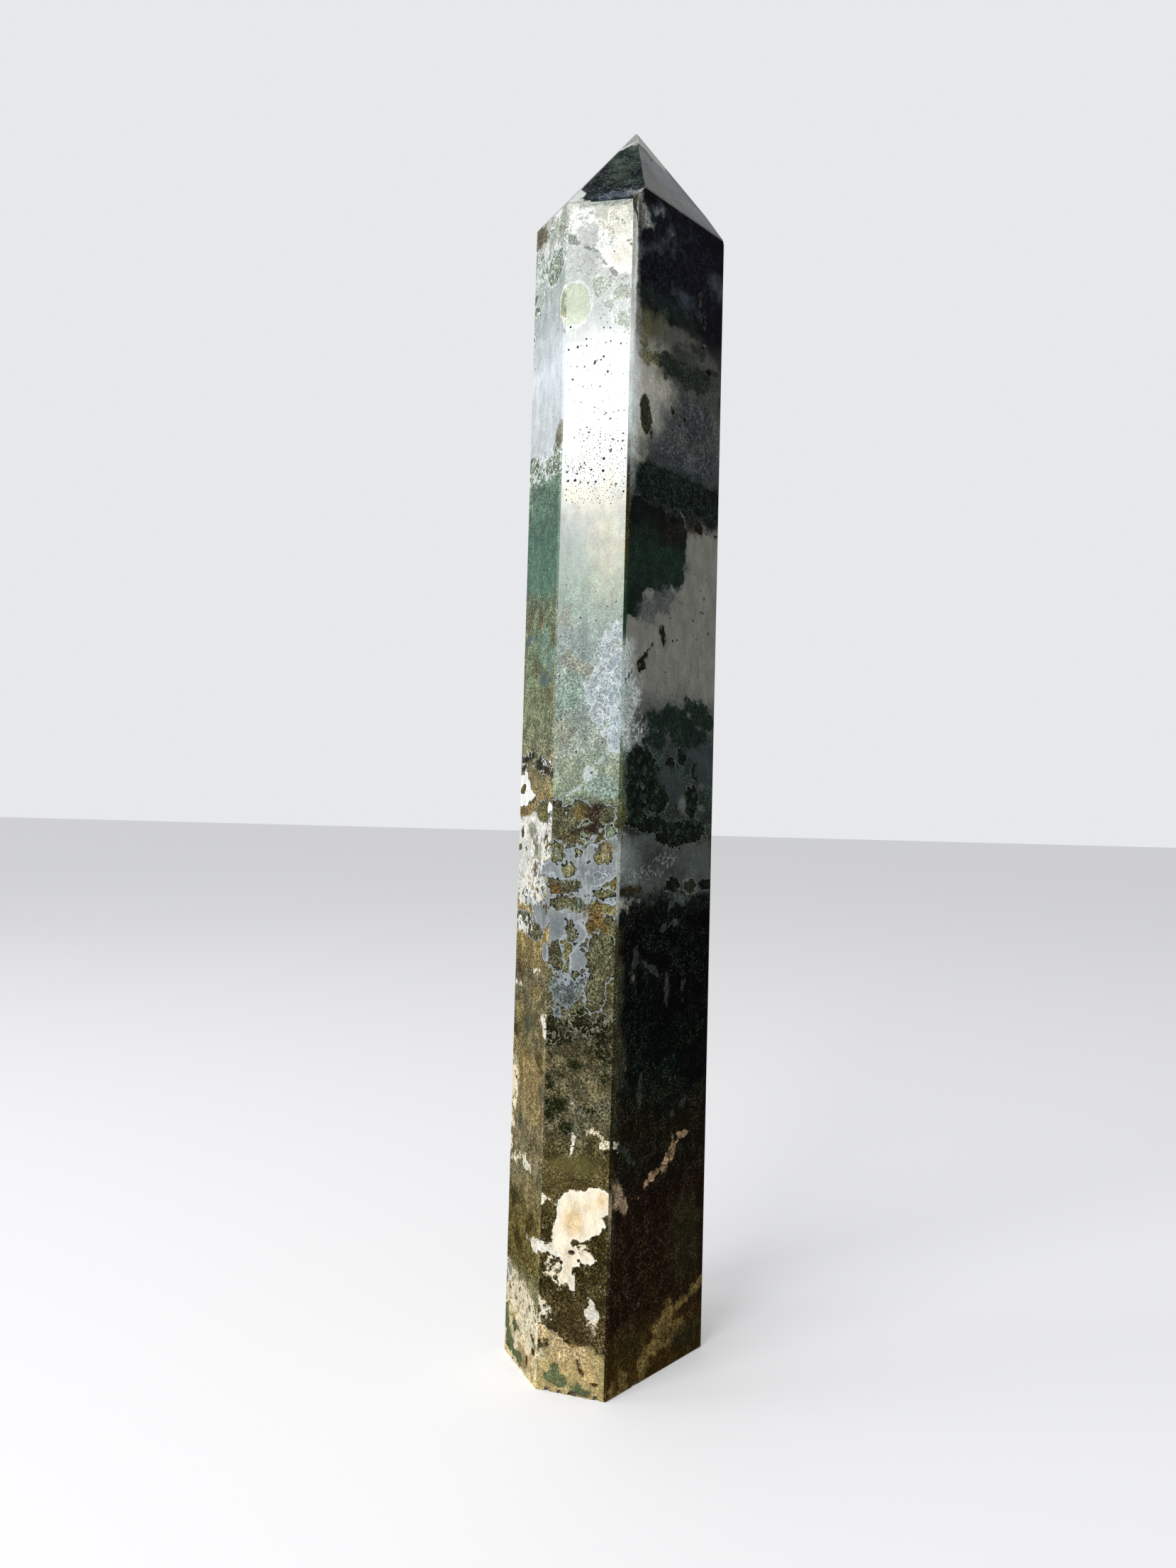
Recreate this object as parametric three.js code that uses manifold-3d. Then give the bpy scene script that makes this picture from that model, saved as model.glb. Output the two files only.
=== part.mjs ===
// Moss agate tower: one stone, cut with six long faces and a six-faced point, standing on its flat base.
// Millimetres, +Z up. The origin is the middle of the base. The front, with the narrow face, looks to -Y.

import * as THREE from 'three';
import { ConvexGeometry } from 'three/addons/geometries/ConvexGeometry.js';
import { mergeVertices } from 'three/addons/utils/BufferGeometryUtils.js';
import Module from 'manifold-3d';

const wasm = await Module();
wasm.setup();

// Driving dimensions
// The base is a six-cornered outline whose opposite corners mirror each other through the middle.
const BASE_LEFT = [-34.75, -2.95];
const BASE_MIDDLE = [-22.85, -30.3];
const BASE_FRONT = [0.06, -38.25];
// The stone is this much narrower where the point begins than at the base.
const SHOULDER_TAPER = 0.989;
const TAPER_HEIGHT = 395;
// Heights at which the long edges end, from the left corner on, counterclockwise from above.
const SHOULDER_HEIGHTS = [396.65, 392.75, 390.88, 398.1, 394.6, 393.2];
const APEX = [1.0, 2.0, 437.3];
// The front face of the point and its right neighbour meet the wide right face here.
const SHOULDER_KINK = [4.55, -32.45, 396.9];
// Behind the right corner the point's back-right face starts a little higher than the front one ends.
const BACK_RIGHT_START_HEIGHT = 401.9;

// Widths of the flats ground on the edges.
const LONG_EDGE_FLAT = 1.1;
const SHOULDER_EDGE_FLAT = 0.8;
const POINT_EDGE_FLAT = 0.5;
const BASE_EDGE_FLAT = 0.5;
const RIGHT_SHOULDER_WEAR = 0.8;
// The worn corner is cut twice, at these steepnesses.
const RIGHT_SHOULDER_WEAR_SLOPES = [0.25, 0.6];
const APEX_WEAR = 0.6;

// A block larger than the stone, whose lower face does each cut.
const GRINDING_BLOCK = 1400;
// Corners closer than this are one corner.
const SAME_CORNER = 1e-5;

const STONE_COLOUR = 0x77786a;
const STONE_ROUGHNESS = 0.12;

// Solids

function solidOf(geometry) {
  const bare = geometry.index ? geometry.toNonIndexed() : geometry.clone();
  bare.deleteAttribute('normal');
  bare.deleteAttribute('uv');
  const merged = mergeVertices(bare, SAME_CORNER);
  const mesh = new wasm.Mesh({
    numProp: 3,
    vertProperties: new Float32Array(merged.attributes.position.array),
    triVerts: new Uint32Array(merged.index.array),
  });
  return new wasm.Manifold(mesh);
}

function geometryOf(solid) {
  const { vertProperties, triVerts, numProp } = solid.getMesh();
  const positions = new Float32Array((vertProperties.length / numProp) * 3);
  for (let i = 0; i < positions.length / 3; i++) {
    for (let axis = 0; axis < 3; axis++) positions[3 * i + axis] = vertProperties[numProp * i + axis];
  }
  const geometry = new THREE.BufferGeometry();
  geometry.setAttribute('position', new THREE.BufferAttribute(positions, 3));
  geometry.setIndex(Array.from(triVerts));
  geometry.computeVertexNormals();
  return geometry;
}

// Corners of the uncut stone

const vector = (point) => new THREE.Vector3(...point);
const opposite = ([x, y]) => [-x, -y];
const BASE_CORNERS = [
  BASE_LEFT, BASE_MIDDLE, BASE_FRONT,
  opposite(BASE_LEFT), opposite(BASE_MIDDLE), opposite(BASE_FRONT),
];
const SIDES = BASE_CORNERS.length;

function cornerAt(index, height) {
  const [x, y] = BASE_CORNERS[(index + SIDES) % SIDES];
  const scale = 1 + ((SHOULDER_TAPER - 1) * height) / TAPER_HEIGHT;
  return new THREE.Vector3(x * scale, y * scale, height);
}

const shoulderCorner = (index) => cornerAt(index, SHOULDER_HEIGHTS[(index + SIDES) % SIDES]);

function roughStone() {
  const corners = [];
  for (let i = 0; i < SIDES; i++) corners.push(cornerAt(i, 0), cornerAt(i, APEX[2]));
  return solidOf(new ConvexGeometry(corners));
}

// The flat faces, each a plane whose normal points out of the stone

const AXIS_POINT = new THREE.Vector3(0, 0, TAPER_HEIGHT / 2);

function faceThrough(a, b, c) {
  const face = new THREE.Plane().setFromCoplanarPoints(a, b, c);
  if (face.distanceToPoint(AXIS_POINT) > 0) face.negate();
  return face;
}

const apex = vector(APEX);
const sideFaces = BASE_CORNERS.map((_, i) => faceThrough(cornerAt(i, 0), cornerAt(i + 1, 0), shoulderCorner(i)));
const RIGHT_SIDE = 2;
const RIGHT_CORNER = 3;
const pointFaceStarts = BASE_CORNERS.map((_, i) => shoulderCorner(i));
pointFaceStarts[RIGHT_SIDE] = vector(SHOULDER_KINK);
pointFaceStarts[RIGHT_CORNER] = cornerAt(RIGHT_CORNER, BACK_RIGHT_START_HEIGHT);
const pointFaces = pointFaceStarts.map((start, i) => faceThrough(start, shoulderCorner(i + 1), apex));
const baseFace = new THREE.Plane(new THREE.Vector3(0, 0, -1), 0);

// Grinding: everything outside a face is cut away

function grind(stone, face) {
  const block = new THREE.BoxGeometry(GRINDING_BLOCK, GRINDING_BLOCK, GRINDING_BLOCK);
  block.translate(0, 0, GRINDING_BLOCK / 2);
  block.applyQuaternion(new THREE.Quaternion().setFromUnitVectors(new THREE.Vector3(0, 0, 1), face.normal));
  const foot = face.projectPoint(apex, new THREE.Vector3());
  block.translate(foot.x, foot.y, foot.z);
  return stone.subtract(solidOf(block));
}

// The flat between two faces has the given width where it crosses their shared edge.
function edgeFlat(faceA, faceB, pointOnEdge, width) {
  const normal = faceA.normal.clone().add(faceB.normal).normalize();
  const halfAngle = faceA.normal.angleTo(faceB.normal) / 2;
  const depth = (width / 2) * Math.tan(halfAngle);
  const point = pointOnEdge.clone().addScaledVector(normal, -depth);
  return new THREE.Plane().setFromNormalAndCoplanarPoint(normal, point);
}

function groundStone() {
  let stone = roughStone();
  for (const face of pointFaces) stone = grind(stone, face);
  for (let i = 0; i < SIDES; i++) {
    const before = (i + SIDES - 1) % SIDES;
    const top = shoulderCorner(i);
    stone = grind(stone, edgeFlat(sideFaces[before], sideFaces[i], top, LONG_EDGE_FLAT));
    stone = grind(stone, edgeFlat(pointFaces[before], pointFaces[i], apex, POINT_EDGE_FLAT));
    stone = grind(stone, edgeFlat(sideFaces[i], pointFaces[i], shoulderCorner(i + 1), SHOULDER_EDGE_FLAT));
    stone = grind(stone, edgeFlat(sideFaces[i], baseFace, cornerAt(i, 0), BASE_EDGE_FLAT));
  }
  return stone;
}

// The right-hand shoulder corner is worn rounder than the others.
function roundedShoulder(stone) {
  const corner = shoulderCorner(RIGHT_CORNER);
  const outward = new THREE.Vector3(corner.x, corner.y, 0).normalize();
  for (const upward of RIGHT_SHOULDER_WEAR_SLOPES) {
    const normal = outward.clone().add(new THREE.Vector3(0, 0, upward)).normalize();
    const point = corner.clone().addScaledVector(normal, -RIGHT_SHOULDER_WEAR);
    stone = grind(stone, new THREE.Plane().setFromNormalAndCoplanarPoint(normal, point));
  }
  return stone;
}

function wornApex(stone) {
  const flat = new THREE.Plane().setFromNormalAndCoplanarPoint(
    new THREE.Vector3(0, 0, 1), apex.clone().add(new THREE.Vector3(0, 0, -APEX_WEAR)));
  return grind(stone, flat);
}

// Pits and chips
// A place on a side face is its distance from the face's left edge and its height.
// Each row: distance, height, length, width, turn of the long side from level in degrees.

const LEFT_FACE_PITS = [
  [6.8, 194.7, 1.4, 1.0, 20],
  [25.7, 155.5, 2.4, 1.6, 25],
  [15.0, 68.0, 1.6, 1.0, 0],
  [20.5, 214.0, 1.5, 0.9, 60],
];

const CENTRE_FACE_PITS = [
  [5.1, 342.7, 1.3, 1.0, 90],
  [11.5, 337.1, 2.6, 1.2, 60],
  [15.9, 333.3, 1.2, 0.8, 90],
  [6.3, 319.2, 1.8, 1.0, 70],
  [15.3, 319.3, 1.7, 0.9, 15],
  [17.2, 317.5, 1.2, 0.9, 90],
  [9.8, 313.2, 1.4, 0.9, 80],
  [18.4, 310.3, 1.6, 1.0, 0],
  [17.6, 306.5, 1.1, 0.9, 0],
  [21.2, 306.9, 1.2, 0.8, 60],
  [7.2, 301.8, 2.2, 1.2, 25],
  [2.6, 300.5, 1.7, 1.1, 0],
  [9.9, 296.5, 1.2, 0.9, 0],
  [19.7, 295.3, 1.2, 0.8, 90],
  [14.0, 200.1, 1.5, 1.0, 80],
  [11.5, 45.3, 1.9, 1.5, 20],
  [6.9, 42.3, 1.7, 1.4, 60],
];

const RIGHT_FACE_PITS = [
  [20.2, 387.5, 3.4, 1.6, -35],
  [38.9, 370.0, 1.4, 0.9, 10],
  [42.1, 363.3, 1.8, 1.1, 110],
  [42.1, 355.4, 3.0, 1.6, 10],
  [30.8, 351.1, 2.0, 1.2, 70],
  [27.7, 347.5, 1.4, 1.0, 0],
  [48.3, 347.3, 6.4, 2.4, 0],
  [52.6, 339.0, 1.6, 1.0, 80],
  [25.0, 327.3, 1.5, 1.0, 40],
  [31.8, 325.0, 1.9, 1.3, 30],
  [27.7, 322.5, 1.4, 1.0, 0],
  [32.1, 318.0, 1.6, 1.2, 0],
  [37.3, 318.0, 1.8, 1.0, 30],
  [29.8, 314.8, 1.5, 1.1, 0],
  [45.6, 288.2, 2.2, 1.2, 20],
  [46.8, 271.9, 2.2, 1.2, 25],
  [45.0, 264.7, 1.6, 1.0, 15],
  [43.9, 259.7, 3.8, 1.1, 5],
  [38.3, 255.7, 1.7, 1.5, 0],
  [48.0, 252.7, 2.0, 1.2, -15],
  [41.2, 249.8, 1.8, 1.0, 10],
  [21.6, 247.3, 2.6, 2.2, 60],
  [12.6, 241.8, 4.6, 1.2, 30],
  [9.0, 236.5, 3.4, 2.2, 20],
  [33.5, 189.0, 2.8, 2.0, 15],
  [46.0, 197.6, 1.8, 1.5, 40],
  [46.0, 189.4, 2.6, 1.6, 40],
  [9.0, 133.6, 2.8, 1.8, 75],
  [6.0, 104.2, 1.8, 1.5, 0],
  [16.0, 25.7, 2.0, 1.6, 80],
];

// The faces turned away carry the same kind of pits.
const BACK_RIGHT_FACE_PITS = [
  [8.0, 352.0, 2.2, 1.2, 30],
  [19.0, 318.0, 1.6, 1.1, 0],
  [12.0, 243.0, 3.0, 1.6, -20],
  [22.0, 176.0, 1.8, 1.2, 60],
  [9.0, 96.0, 2.0, 1.4, 10],
];
const BACK_FACE_PITS = [
  [6.0, 333.0, 1.8, 1.2, 40],
  [16.0, 301.0, 2.2, 1.3, 10],
  [11.0, 222.0, 1.6, 1.0, 80],
  [18.0, 131.0, 2.4, 1.5, 0],
];
const BACK_LEFT_FACE_PITS = [
  [11.0, 366.0, 2.0, 1.3, 0],
  [37.0, 331.0, 2.8, 1.5, 25],
  [24.0, 286.0, 1.8, 1.2, 70],
  [43.0, 251.0, 2.2, 1.4, 0],
  [15.0, 207.0, 3.2, 1.5, 15],
  [33.0, 148.0, 2.0, 1.4, -30],
  [20.0, 83.0, 2.4, 1.6, 50],
];

const PITS_BY_FACE = [
  LEFT_FACE_PITS, CENTRE_FACE_PITS, RIGHT_FACE_PITS,
  BACK_RIGHT_FACE_PITS, BACK_FACE_PITS, BACK_LEFT_FACE_PITS,
];
const PIT_DEPTH_RATIO = 0.45;

// A small hollow with flat, broken walls
function hollow(face, place, along, [length, width, depth], turn) {
  const shape = new THREE.IcosahedronGeometry(0.5, 0);
  shape.scale(length, width, 2 * depth);
  shape.rotateZ(THREE.MathUtils.degToRad(turn));
  const up = new THREE.Vector3().crossVectors(face.normal, along).normalize();
  const across = new THREE.Vector3().crossVectors(up, face.normal);
  shape.applyMatrix4(new THREE.Matrix4().makeBasis(across, up, face.normal).setPosition(place));
  return solidOf(shape);
}

function placeOnFace(index, distance, height) {
  const left = cornerAt(index, height);
  const along = cornerAt(index + 1, height).sub(left).normalize();
  return { place: left.addScaledVector(along, distance), along };
}

function pitted(stone) {
  PITS_BY_FACE.forEach((pits, index) => {
    for (const [distance, height, length, width, turn] of pits) {
      const { place, along } = placeOnFace(index, distance, height);
      const size = [length, width, PIT_DEPTH_RATIO * width];
      stone = stone.subtract(hollow(sideFaces[index], place, along, size, turn));
    }
  });
  return stone;
}

// Chips on the edges. Each row: face index, distance, height, size across, up and in, turn.
const CHIPS = [
  // Broken front corner of the shoulder, and the nick below it
  [2, 1.6, 388.9, 5.2, 5.6, 1.3, 20],
  [2, 3.6, 384.2, 2.4, 3.4, 0.8, -25],
  // Front edge of the base
  [1, 4.4, 0.0, 3.0, 1.8, 1.1, 0],
  [1, 8.6, 0.0, 2.2, 1.5, 0.9, 10],
  [1, 12.9, 0.0, 4.0, 2.0, 1.3, -5],
  [1, 17.6, 0.0, 2.2, 1.4, 0.9, 0],
  [1, 21.0, 0.0, 2.6, 1.7, 1.1, 8],
  // Base edge under the wide face and the left face
  [2, 15.0, 0.0, 3.4, 1.7, 1.0, 0],
  [2, 38.0, 0.0, 2.6, 1.5, 0.9, 0],
  [0, 9.0, 0.0, 2.4, 1.4, 0.9, 0],
  [4, 12.0, 0.0, 3.0, 1.6, 1.0, 0],
  [5, 30.0, 0.0, 3.2, 1.7, 1.0, 0],
  // Long edges
  [3, 0.0, 214.0, 1.6, 4.4, 0.8, 0],
  [0, 0.0, 63.0, 1.6, 3.6, 0.8, 0],
  [4, 0.0, 268.0, 1.8, 4.0, 0.9, 0],
];

function chipped(stone) {
  for (const [index, distance, height, across, up, inward, turn] of CHIPS) {
    const { place, along } = placeOnFace(index, distance, height);
    stone = stone.subtract(hollow(sideFaces[index], place, along, [across, 2 * up, inward], turn));
  }
  return stone;
}

function tower() {
  const stone = chipped(pitted(wornApex(roundedShoulder(groundStone()))));
  const material = new THREE.MeshStandardMaterial({
    color: STONE_COLOUR, roughness: STONE_ROUGHNESS, metalness: 0,
  });
  const mesh = new THREE.Mesh(geometryOf(stone), material);
  mesh.name = 'tower';
  return mesh;
}

// The middle of the finished base stands on the origin.
function stoodOnOrigin(mesh) {
  const box = new THREE.Box3().setFromObject(mesh);
  const middle = box.getCenter(new THREE.Vector3());
  mesh.position.set(-middle.x, -middle.y, -box.min.z);
  return mesh;
}

const mossAgateTower = new THREE.Group();
mossAgateTower.add(stoodOnOrigin(tower()));

export default mossAgateTower;
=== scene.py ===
import math

import bmesh
import bpy
from mathutils import Matrix, Vector
from mathutils import noise as field_noise
from mathutils.geometry import delaunay_2d_cdt


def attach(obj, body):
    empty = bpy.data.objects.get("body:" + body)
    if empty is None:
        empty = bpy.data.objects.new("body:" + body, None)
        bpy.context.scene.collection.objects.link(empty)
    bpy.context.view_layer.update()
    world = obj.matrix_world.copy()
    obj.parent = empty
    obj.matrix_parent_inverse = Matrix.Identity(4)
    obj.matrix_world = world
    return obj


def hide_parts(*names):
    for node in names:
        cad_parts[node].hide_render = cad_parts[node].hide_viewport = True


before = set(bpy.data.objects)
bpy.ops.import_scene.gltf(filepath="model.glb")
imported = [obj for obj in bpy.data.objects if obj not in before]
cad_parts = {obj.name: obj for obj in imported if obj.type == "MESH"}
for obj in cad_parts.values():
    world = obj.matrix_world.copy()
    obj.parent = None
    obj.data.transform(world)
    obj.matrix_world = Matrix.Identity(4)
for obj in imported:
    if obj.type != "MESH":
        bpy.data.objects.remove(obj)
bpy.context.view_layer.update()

MM = 0.001

# The stone's outline and faces, in millimetres, as the solid has them
BASE_LEFT = (-34.75, -2.95)
BASE_MIDDLE = (-22.85, -30.3)
BASE_FRONT = (0.06, -38.25)
BASE_OUTLINE = [BASE_LEFT, BASE_MIDDLE, BASE_FRONT]
BASE_OUTLINE += [(-x, -y) for x, y in BASE_OUTLINE]
SHOULDER_TAPER = 0.989
TAPER_HEIGHT = 395.0
SHOULDER_HEIGHTS = (396.65, 392.75, 390.88, 398.1, 394.6, 393.2)
APEX = Vector((1.0, 2.0, 437.3))
SHOULDER_KINK = Vector((4.55, -32.45, 396.9))
BACK_RIGHT_START_HEIGHT = 401.9
LEFT, CENTRE, RIGHT, BACK_RIGHT, BACK, BACK_LEFT = range(6)
RIGHT_CORNER = 3
HEIGHT = APEX.z


def corner_at(index, height):
    x, y = BASE_OUTLINE[index % 6]
    scale = 1 + (SHOULDER_TAPER - 1) * height / TAPER_HEIGHT
    return Vector((x * scale, y * scale, height))


def shoulder_corner(index):
    return corner_at(index, SHOULDER_HEIGHTS[index % 6])


# Camera and light

EYE = Vector((-10.6, -405.2, 183.0))
PITCH = 2.1
ROLL = 1.5
LENS = 26.04
SENSOR_WIDTH = 36.0


def place_camera():
    """The eye is a little below the middle of the stone, and close to it, as with a wide lens."""
    pitch = math.radians(PITCH)
    roll = math.radians(ROLL)
    forward = Vector((0, math.cos(pitch), math.sin(pitch)))
    level = Vector((1, 0, 0))
    upright = level.cross(forward)
    right = math.cos(roll) * level + math.sin(roll) * upright
    up = math.cos(roll) * upright - math.sin(roll) * level
    data = bpy.data.cameras.new("camera")
    data.sensor_width = SENSOR_WIDTH
    data.lens = LENS
    data.clip_start = 0.01
    camera = bpy.data.objects.new("camera", data)
    turn = Matrix((right, up, -forward)).transposed()
    camera.matrix_world = Matrix.Translation(EYE * MM) @ turn.to_4x4()
    bpy.context.scene.collection.objects.link(camera)
    bpy.context.scene.camera = camera


# The main softbox is a stack of bands, each as bottom and top height in metres and how bright it is
MAIN_PLACE = (-0.81, -1.02)
MAIN_WIDTH = 0.95
MAIN_BANDS = [(0.53, 0.66, 3.0), (0.66, 0.93, 12.0), (0.93, 1.6, 3.0)]
SIDE_PLACE = (-1.4, -0.1, 0.75)
SIDE_AIM = (0, 0, 0.3)
SIDE_WIDTH = 0.5
SIDE_HEIGHT = 0.9
SIDE_BRIGHTNESS = 2.0
LIGHT_AROUND = (0.97, 0.98, 1.0, 1)
BACKDROP = (0.80, 0.81, 0.83, 1)


def softbox(name, place, target, width, height, brightness):
    data = bpy.data.lights.new(name, "AREA")
    data.shape = "RECTANGLE"
    data.size = width
    data.size_y = height
    # An area light's power for a given brightness seen from the front
    data.energy = brightness * math.pi * width * height
    light = bpy.data.objects.new(name, data)
    aim = Vector(target) - Vector(place)
    light.matrix_world = Matrix.Translation(place) @ aim.to_track_quat("-Z", "Y").to_matrix().to_4x4()
    bpy.context.scene.collection.objects.link(light)


def light_studio():
    """A tall softbox to the front left, brightest in its middle; pale surroundings, dimmer on the right."""
    for bottom, top, brightness in MAIN_BANDS:
        middle = (bottom + top) / 2
        softbox("main softbox", (*MAIN_PLACE, middle), (0, 0, middle), MAIN_WIDTH, top - bottom, brightness)
    softbox("side softbox", SIDE_PLACE, SIDE_AIM, SIDE_WIDTH, SIDE_HEIGHT, SIDE_BRIGHTNESS)
    world = bpy.data.worlds.new("studio")
    bpy.context.scene.world = world
    world.use_nodes = True
    nodes = Nodes(world.node_tree)
    direction = nodes.signal(nodes.node("ShaderNodeTexCoord"), "Generated")
    across, away, up = nodes.split(direction)
    left = nodes.step(across, 0.7, -0.6)
    ambient = left * 0.45 + 0.25
    overhead = nodes.step(up, 0.95, 0.6)
    above = nodes.step(up, -0.05, 0.1)
    sides = left * 0.12 + 0.03 + nodes.step(away, 0.3, 0.8) * nodes.step(up, 0.3, 0.6) * 0.25
    mirrored = (sides * above + 0.015) * (overhead * 0.8 + 0.2)
    path = nodes.node("ShaderNodeLightPath")
    around = nodes.node("ShaderNodeBackground", None, {"Color": LIGHT_AROUND, "Strength": ambient})
    glossy = nodes.node("ShaderNodeBackground", None, {"Color": LIGHT_AROUND, "Strength": mirrored})
    seen = nodes.node("ShaderNodeBackground", None, {"Color": BACKDROP})
    lit = nodes.node("ShaderNodeMixShader", None, {
        0: nodes.signal(path, "Is Glossy Ray"), 1: nodes.signal(around), 2: nodes.signal(glossy),
    })
    shown = nodes.node("ShaderNodeMixShader", None, {
        0: nodes.signal(path, "Is Camera Ray"), 1: nodes.signal(lit), 2: nodes.signal(seen),
    })
    nodes.node("ShaderNodeOutputWorld", None, {"Surface": nodes.signal(shown)})


# Shader shorthand

def srgb(text):
    """A colour written as on a paint chart, such as "c8beaa", turned into linear light."""
    parts = [int(text[i:i + 2], 16) / 255 for i in (0, 2, 4)]
    return tuple(c / 12.92 if c <= 0.04045 else ((c + 0.055) / 1.055) ** 2.4 for c in parts)


class Signal:
    """A shader socket that can be used in sums like a number."""

    def __init__(self, nodes, socket):
        self.nodes = nodes
        self.socket = socket

    def __add__(self, other):
        return self.nodes.math("ADD", self, other)

    __radd__ = __add__

    def __sub__(self, other):
        return self.nodes.math("SUBTRACT", self, other)

    def __rsub__(self, other):
        return self.nodes.math("SUBTRACT", other, self)

    def __mul__(self, other):
        return self.nodes.math("MULTIPLY", self, other)

    __rmul__ = __mul__

    def __abs__(self):
        return self.nodes.math("ABSOLUTE", self)


class Nodes:
    """A node tree and the few words that it is written with."""

    def __init__(self, tree):
        self.tree = tree
        self.tree.nodes.clear()

    def node(self, kind, settings=None, inputs=None):
        node = self.tree.nodes.new(kind)
        for name, value in (settings or {}).items():
            if name == "stops":
                self.set_stops(node.color_ramp, value)
            else:
                setattr(node, name, value)
        for name, value in (inputs or {}).items():
            if isinstance(value, Signal):
                self.tree.links.new(value.socket, node.inputs[name])
            elif value is not None:
                node.inputs[name].default_value = value
        return node

    def set_stops(self, ramp, stops):
        while len(ramp.elements) < len(stops):
            ramp.elements.new(1.0)
        for element, (position, colour) in zip(ramp.elements, stops):
            element.position = position
            element.color = colour

    def signal(self, node, output=0):
        return Signal(self, node.outputs[output])

    def math(self, operation, a, b=None, c=None):
        return self.signal(self.node("ShaderNodeMath", {"operation": operation}, {0: a, 1: b, 2: c}))

    def vector(self, operation, a, b=None, c=None):
        node = self.node("ShaderNodeVectorMath", {"operation": operation}, {0: a, 1: b, 2: c})
        return self.signal(node, "Value" if operation in ("LENGTH", "DOT_PRODUCT") else "Vector")

    def scaled(self, vector, factor):
        inputs = {"Vector": vector, "Scale": factor}
        return self.signal(self.node("ShaderNodeVectorMath", {"operation": "SCALE"}, inputs), "Vector")

    def split(self, vector):
        node = self.node("ShaderNodeSeparateXYZ", None, {0: vector})
        return [self.signal(node, i) for i in range(3)]

    def step(self, value, low, high):
        """Zero at low and one at high, eased between."""
        inputs = {"Value": value, "From Min": low, "From Max": high}
        return self.signal(self.node("ShaderNodeMapRange", {"interpolation_type": "SMOOTHSTEP"}, inputs))

    def mix(self, amount, a, b, blend="MIX"):
        inputs = {0: amount, 6: self.paint(a), 7: self.paint(b)}
        return self.signal(self.node("ShaderNodeMix", {"data_type": "RGBA", "blend_type": blend}, inputs), 2)

    def paint(self, colour):
        return colour if isinstance(colour, Signal) else (*colour, 1.0)

    def noise(self, at, size, detail=2.0, roughness=0.5, output="Fac"):
        inputs = {"Vector": at, "Scale": 1 / size, "Detail": detail, "Roughness": roughness}
        return self.signal(self.node("ShaderNodeTexNoise", None, inputs), output)

    def cells(self, at, size, feature="F1", output="Distance"):
        node = self.node("ShaderNodeTexVoronoi", {"feature": feature}, {"Vector": at, "Scale": 1 / size})
        return self.signal(node, output)

    def local(self, at, origin, turn):
        """The point at, measured from origin along axes turned by turn."""
        inputs = {"Vector": at, "Location": origin, "Rotation": turn}
        return self.signal(self.node("ShaderNodeMapping", {"vector_type": "TEXTURE"}, inputs), "Vector")

    def use(self, group, inputs):
        """The outputs of a group of nodes."""
        node = self.node("ShaderNodeGroup", {"node_tree": group}, inputs)
        return [self.signal(node, i) for i in range(len(node.outputs))]


SOCKETS = {
    "number": "NodeSocketFloat", "vector": "NodeSocketVector", "colour": "NodeSocketColor",
    "whole": "NodeSocketInt", "mesh": "NodeSocketGeometry",
}


def group_of_nodes(name, inputs, outputs, work, kind="ShaderNodeTree"):
    """A group whose inner nodes are made by work from its inputs; it returns the outputs in order."""
    tree = bpy.data.node_groups.new(name, kind)
    nodes = Nodes(tree)
    for direction, sockets in (("INPUT", inputs), ("OUTPUT", outputs)):
        for label, kind in sockets.items():
            tree.interface.new_socket(name=label, in_out=direction, socket_type=SOCKETS[kind])
    given = nodes.node("NodeGroupInput")
    results = work(nodes, *(nodes.signal(given, label) for label in inputs))
    nodes.node("NodeGroupOutput", None, dict(zip(outputs, results)))
    return tree


def nearest_spot(nodes, at, scale, shift, size, nearest):
    """Millimetres outside the nearest spot so far; inside one it is negative."""
    reach = nodes.vector("LENGTH", nodes.vector("MULTIPLY_ADD", at, scale, shift))
    return [nodes.math("MINIMUM", nearest, (reach - 1) * size)]


def marking(nodes, outside, edge, ragged, soft, strength, paint, paint_grain, colour, grain):
    mask = nodes.step(outside + edge * ragged, soft, soft * -1) * strength
    return [nodes.mix(mask, colour, paint), grain + (paint_grain - grain) * mask]


def rim(nodes, outside, edge, ragged, offset, width, paint, colour, grain):
    line = nodes.step(abs(outside + edge * ragged - offset), width, width * 0.4)
    return [nodes.mix(line, colour, paint), grain * (1 - line)]


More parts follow.
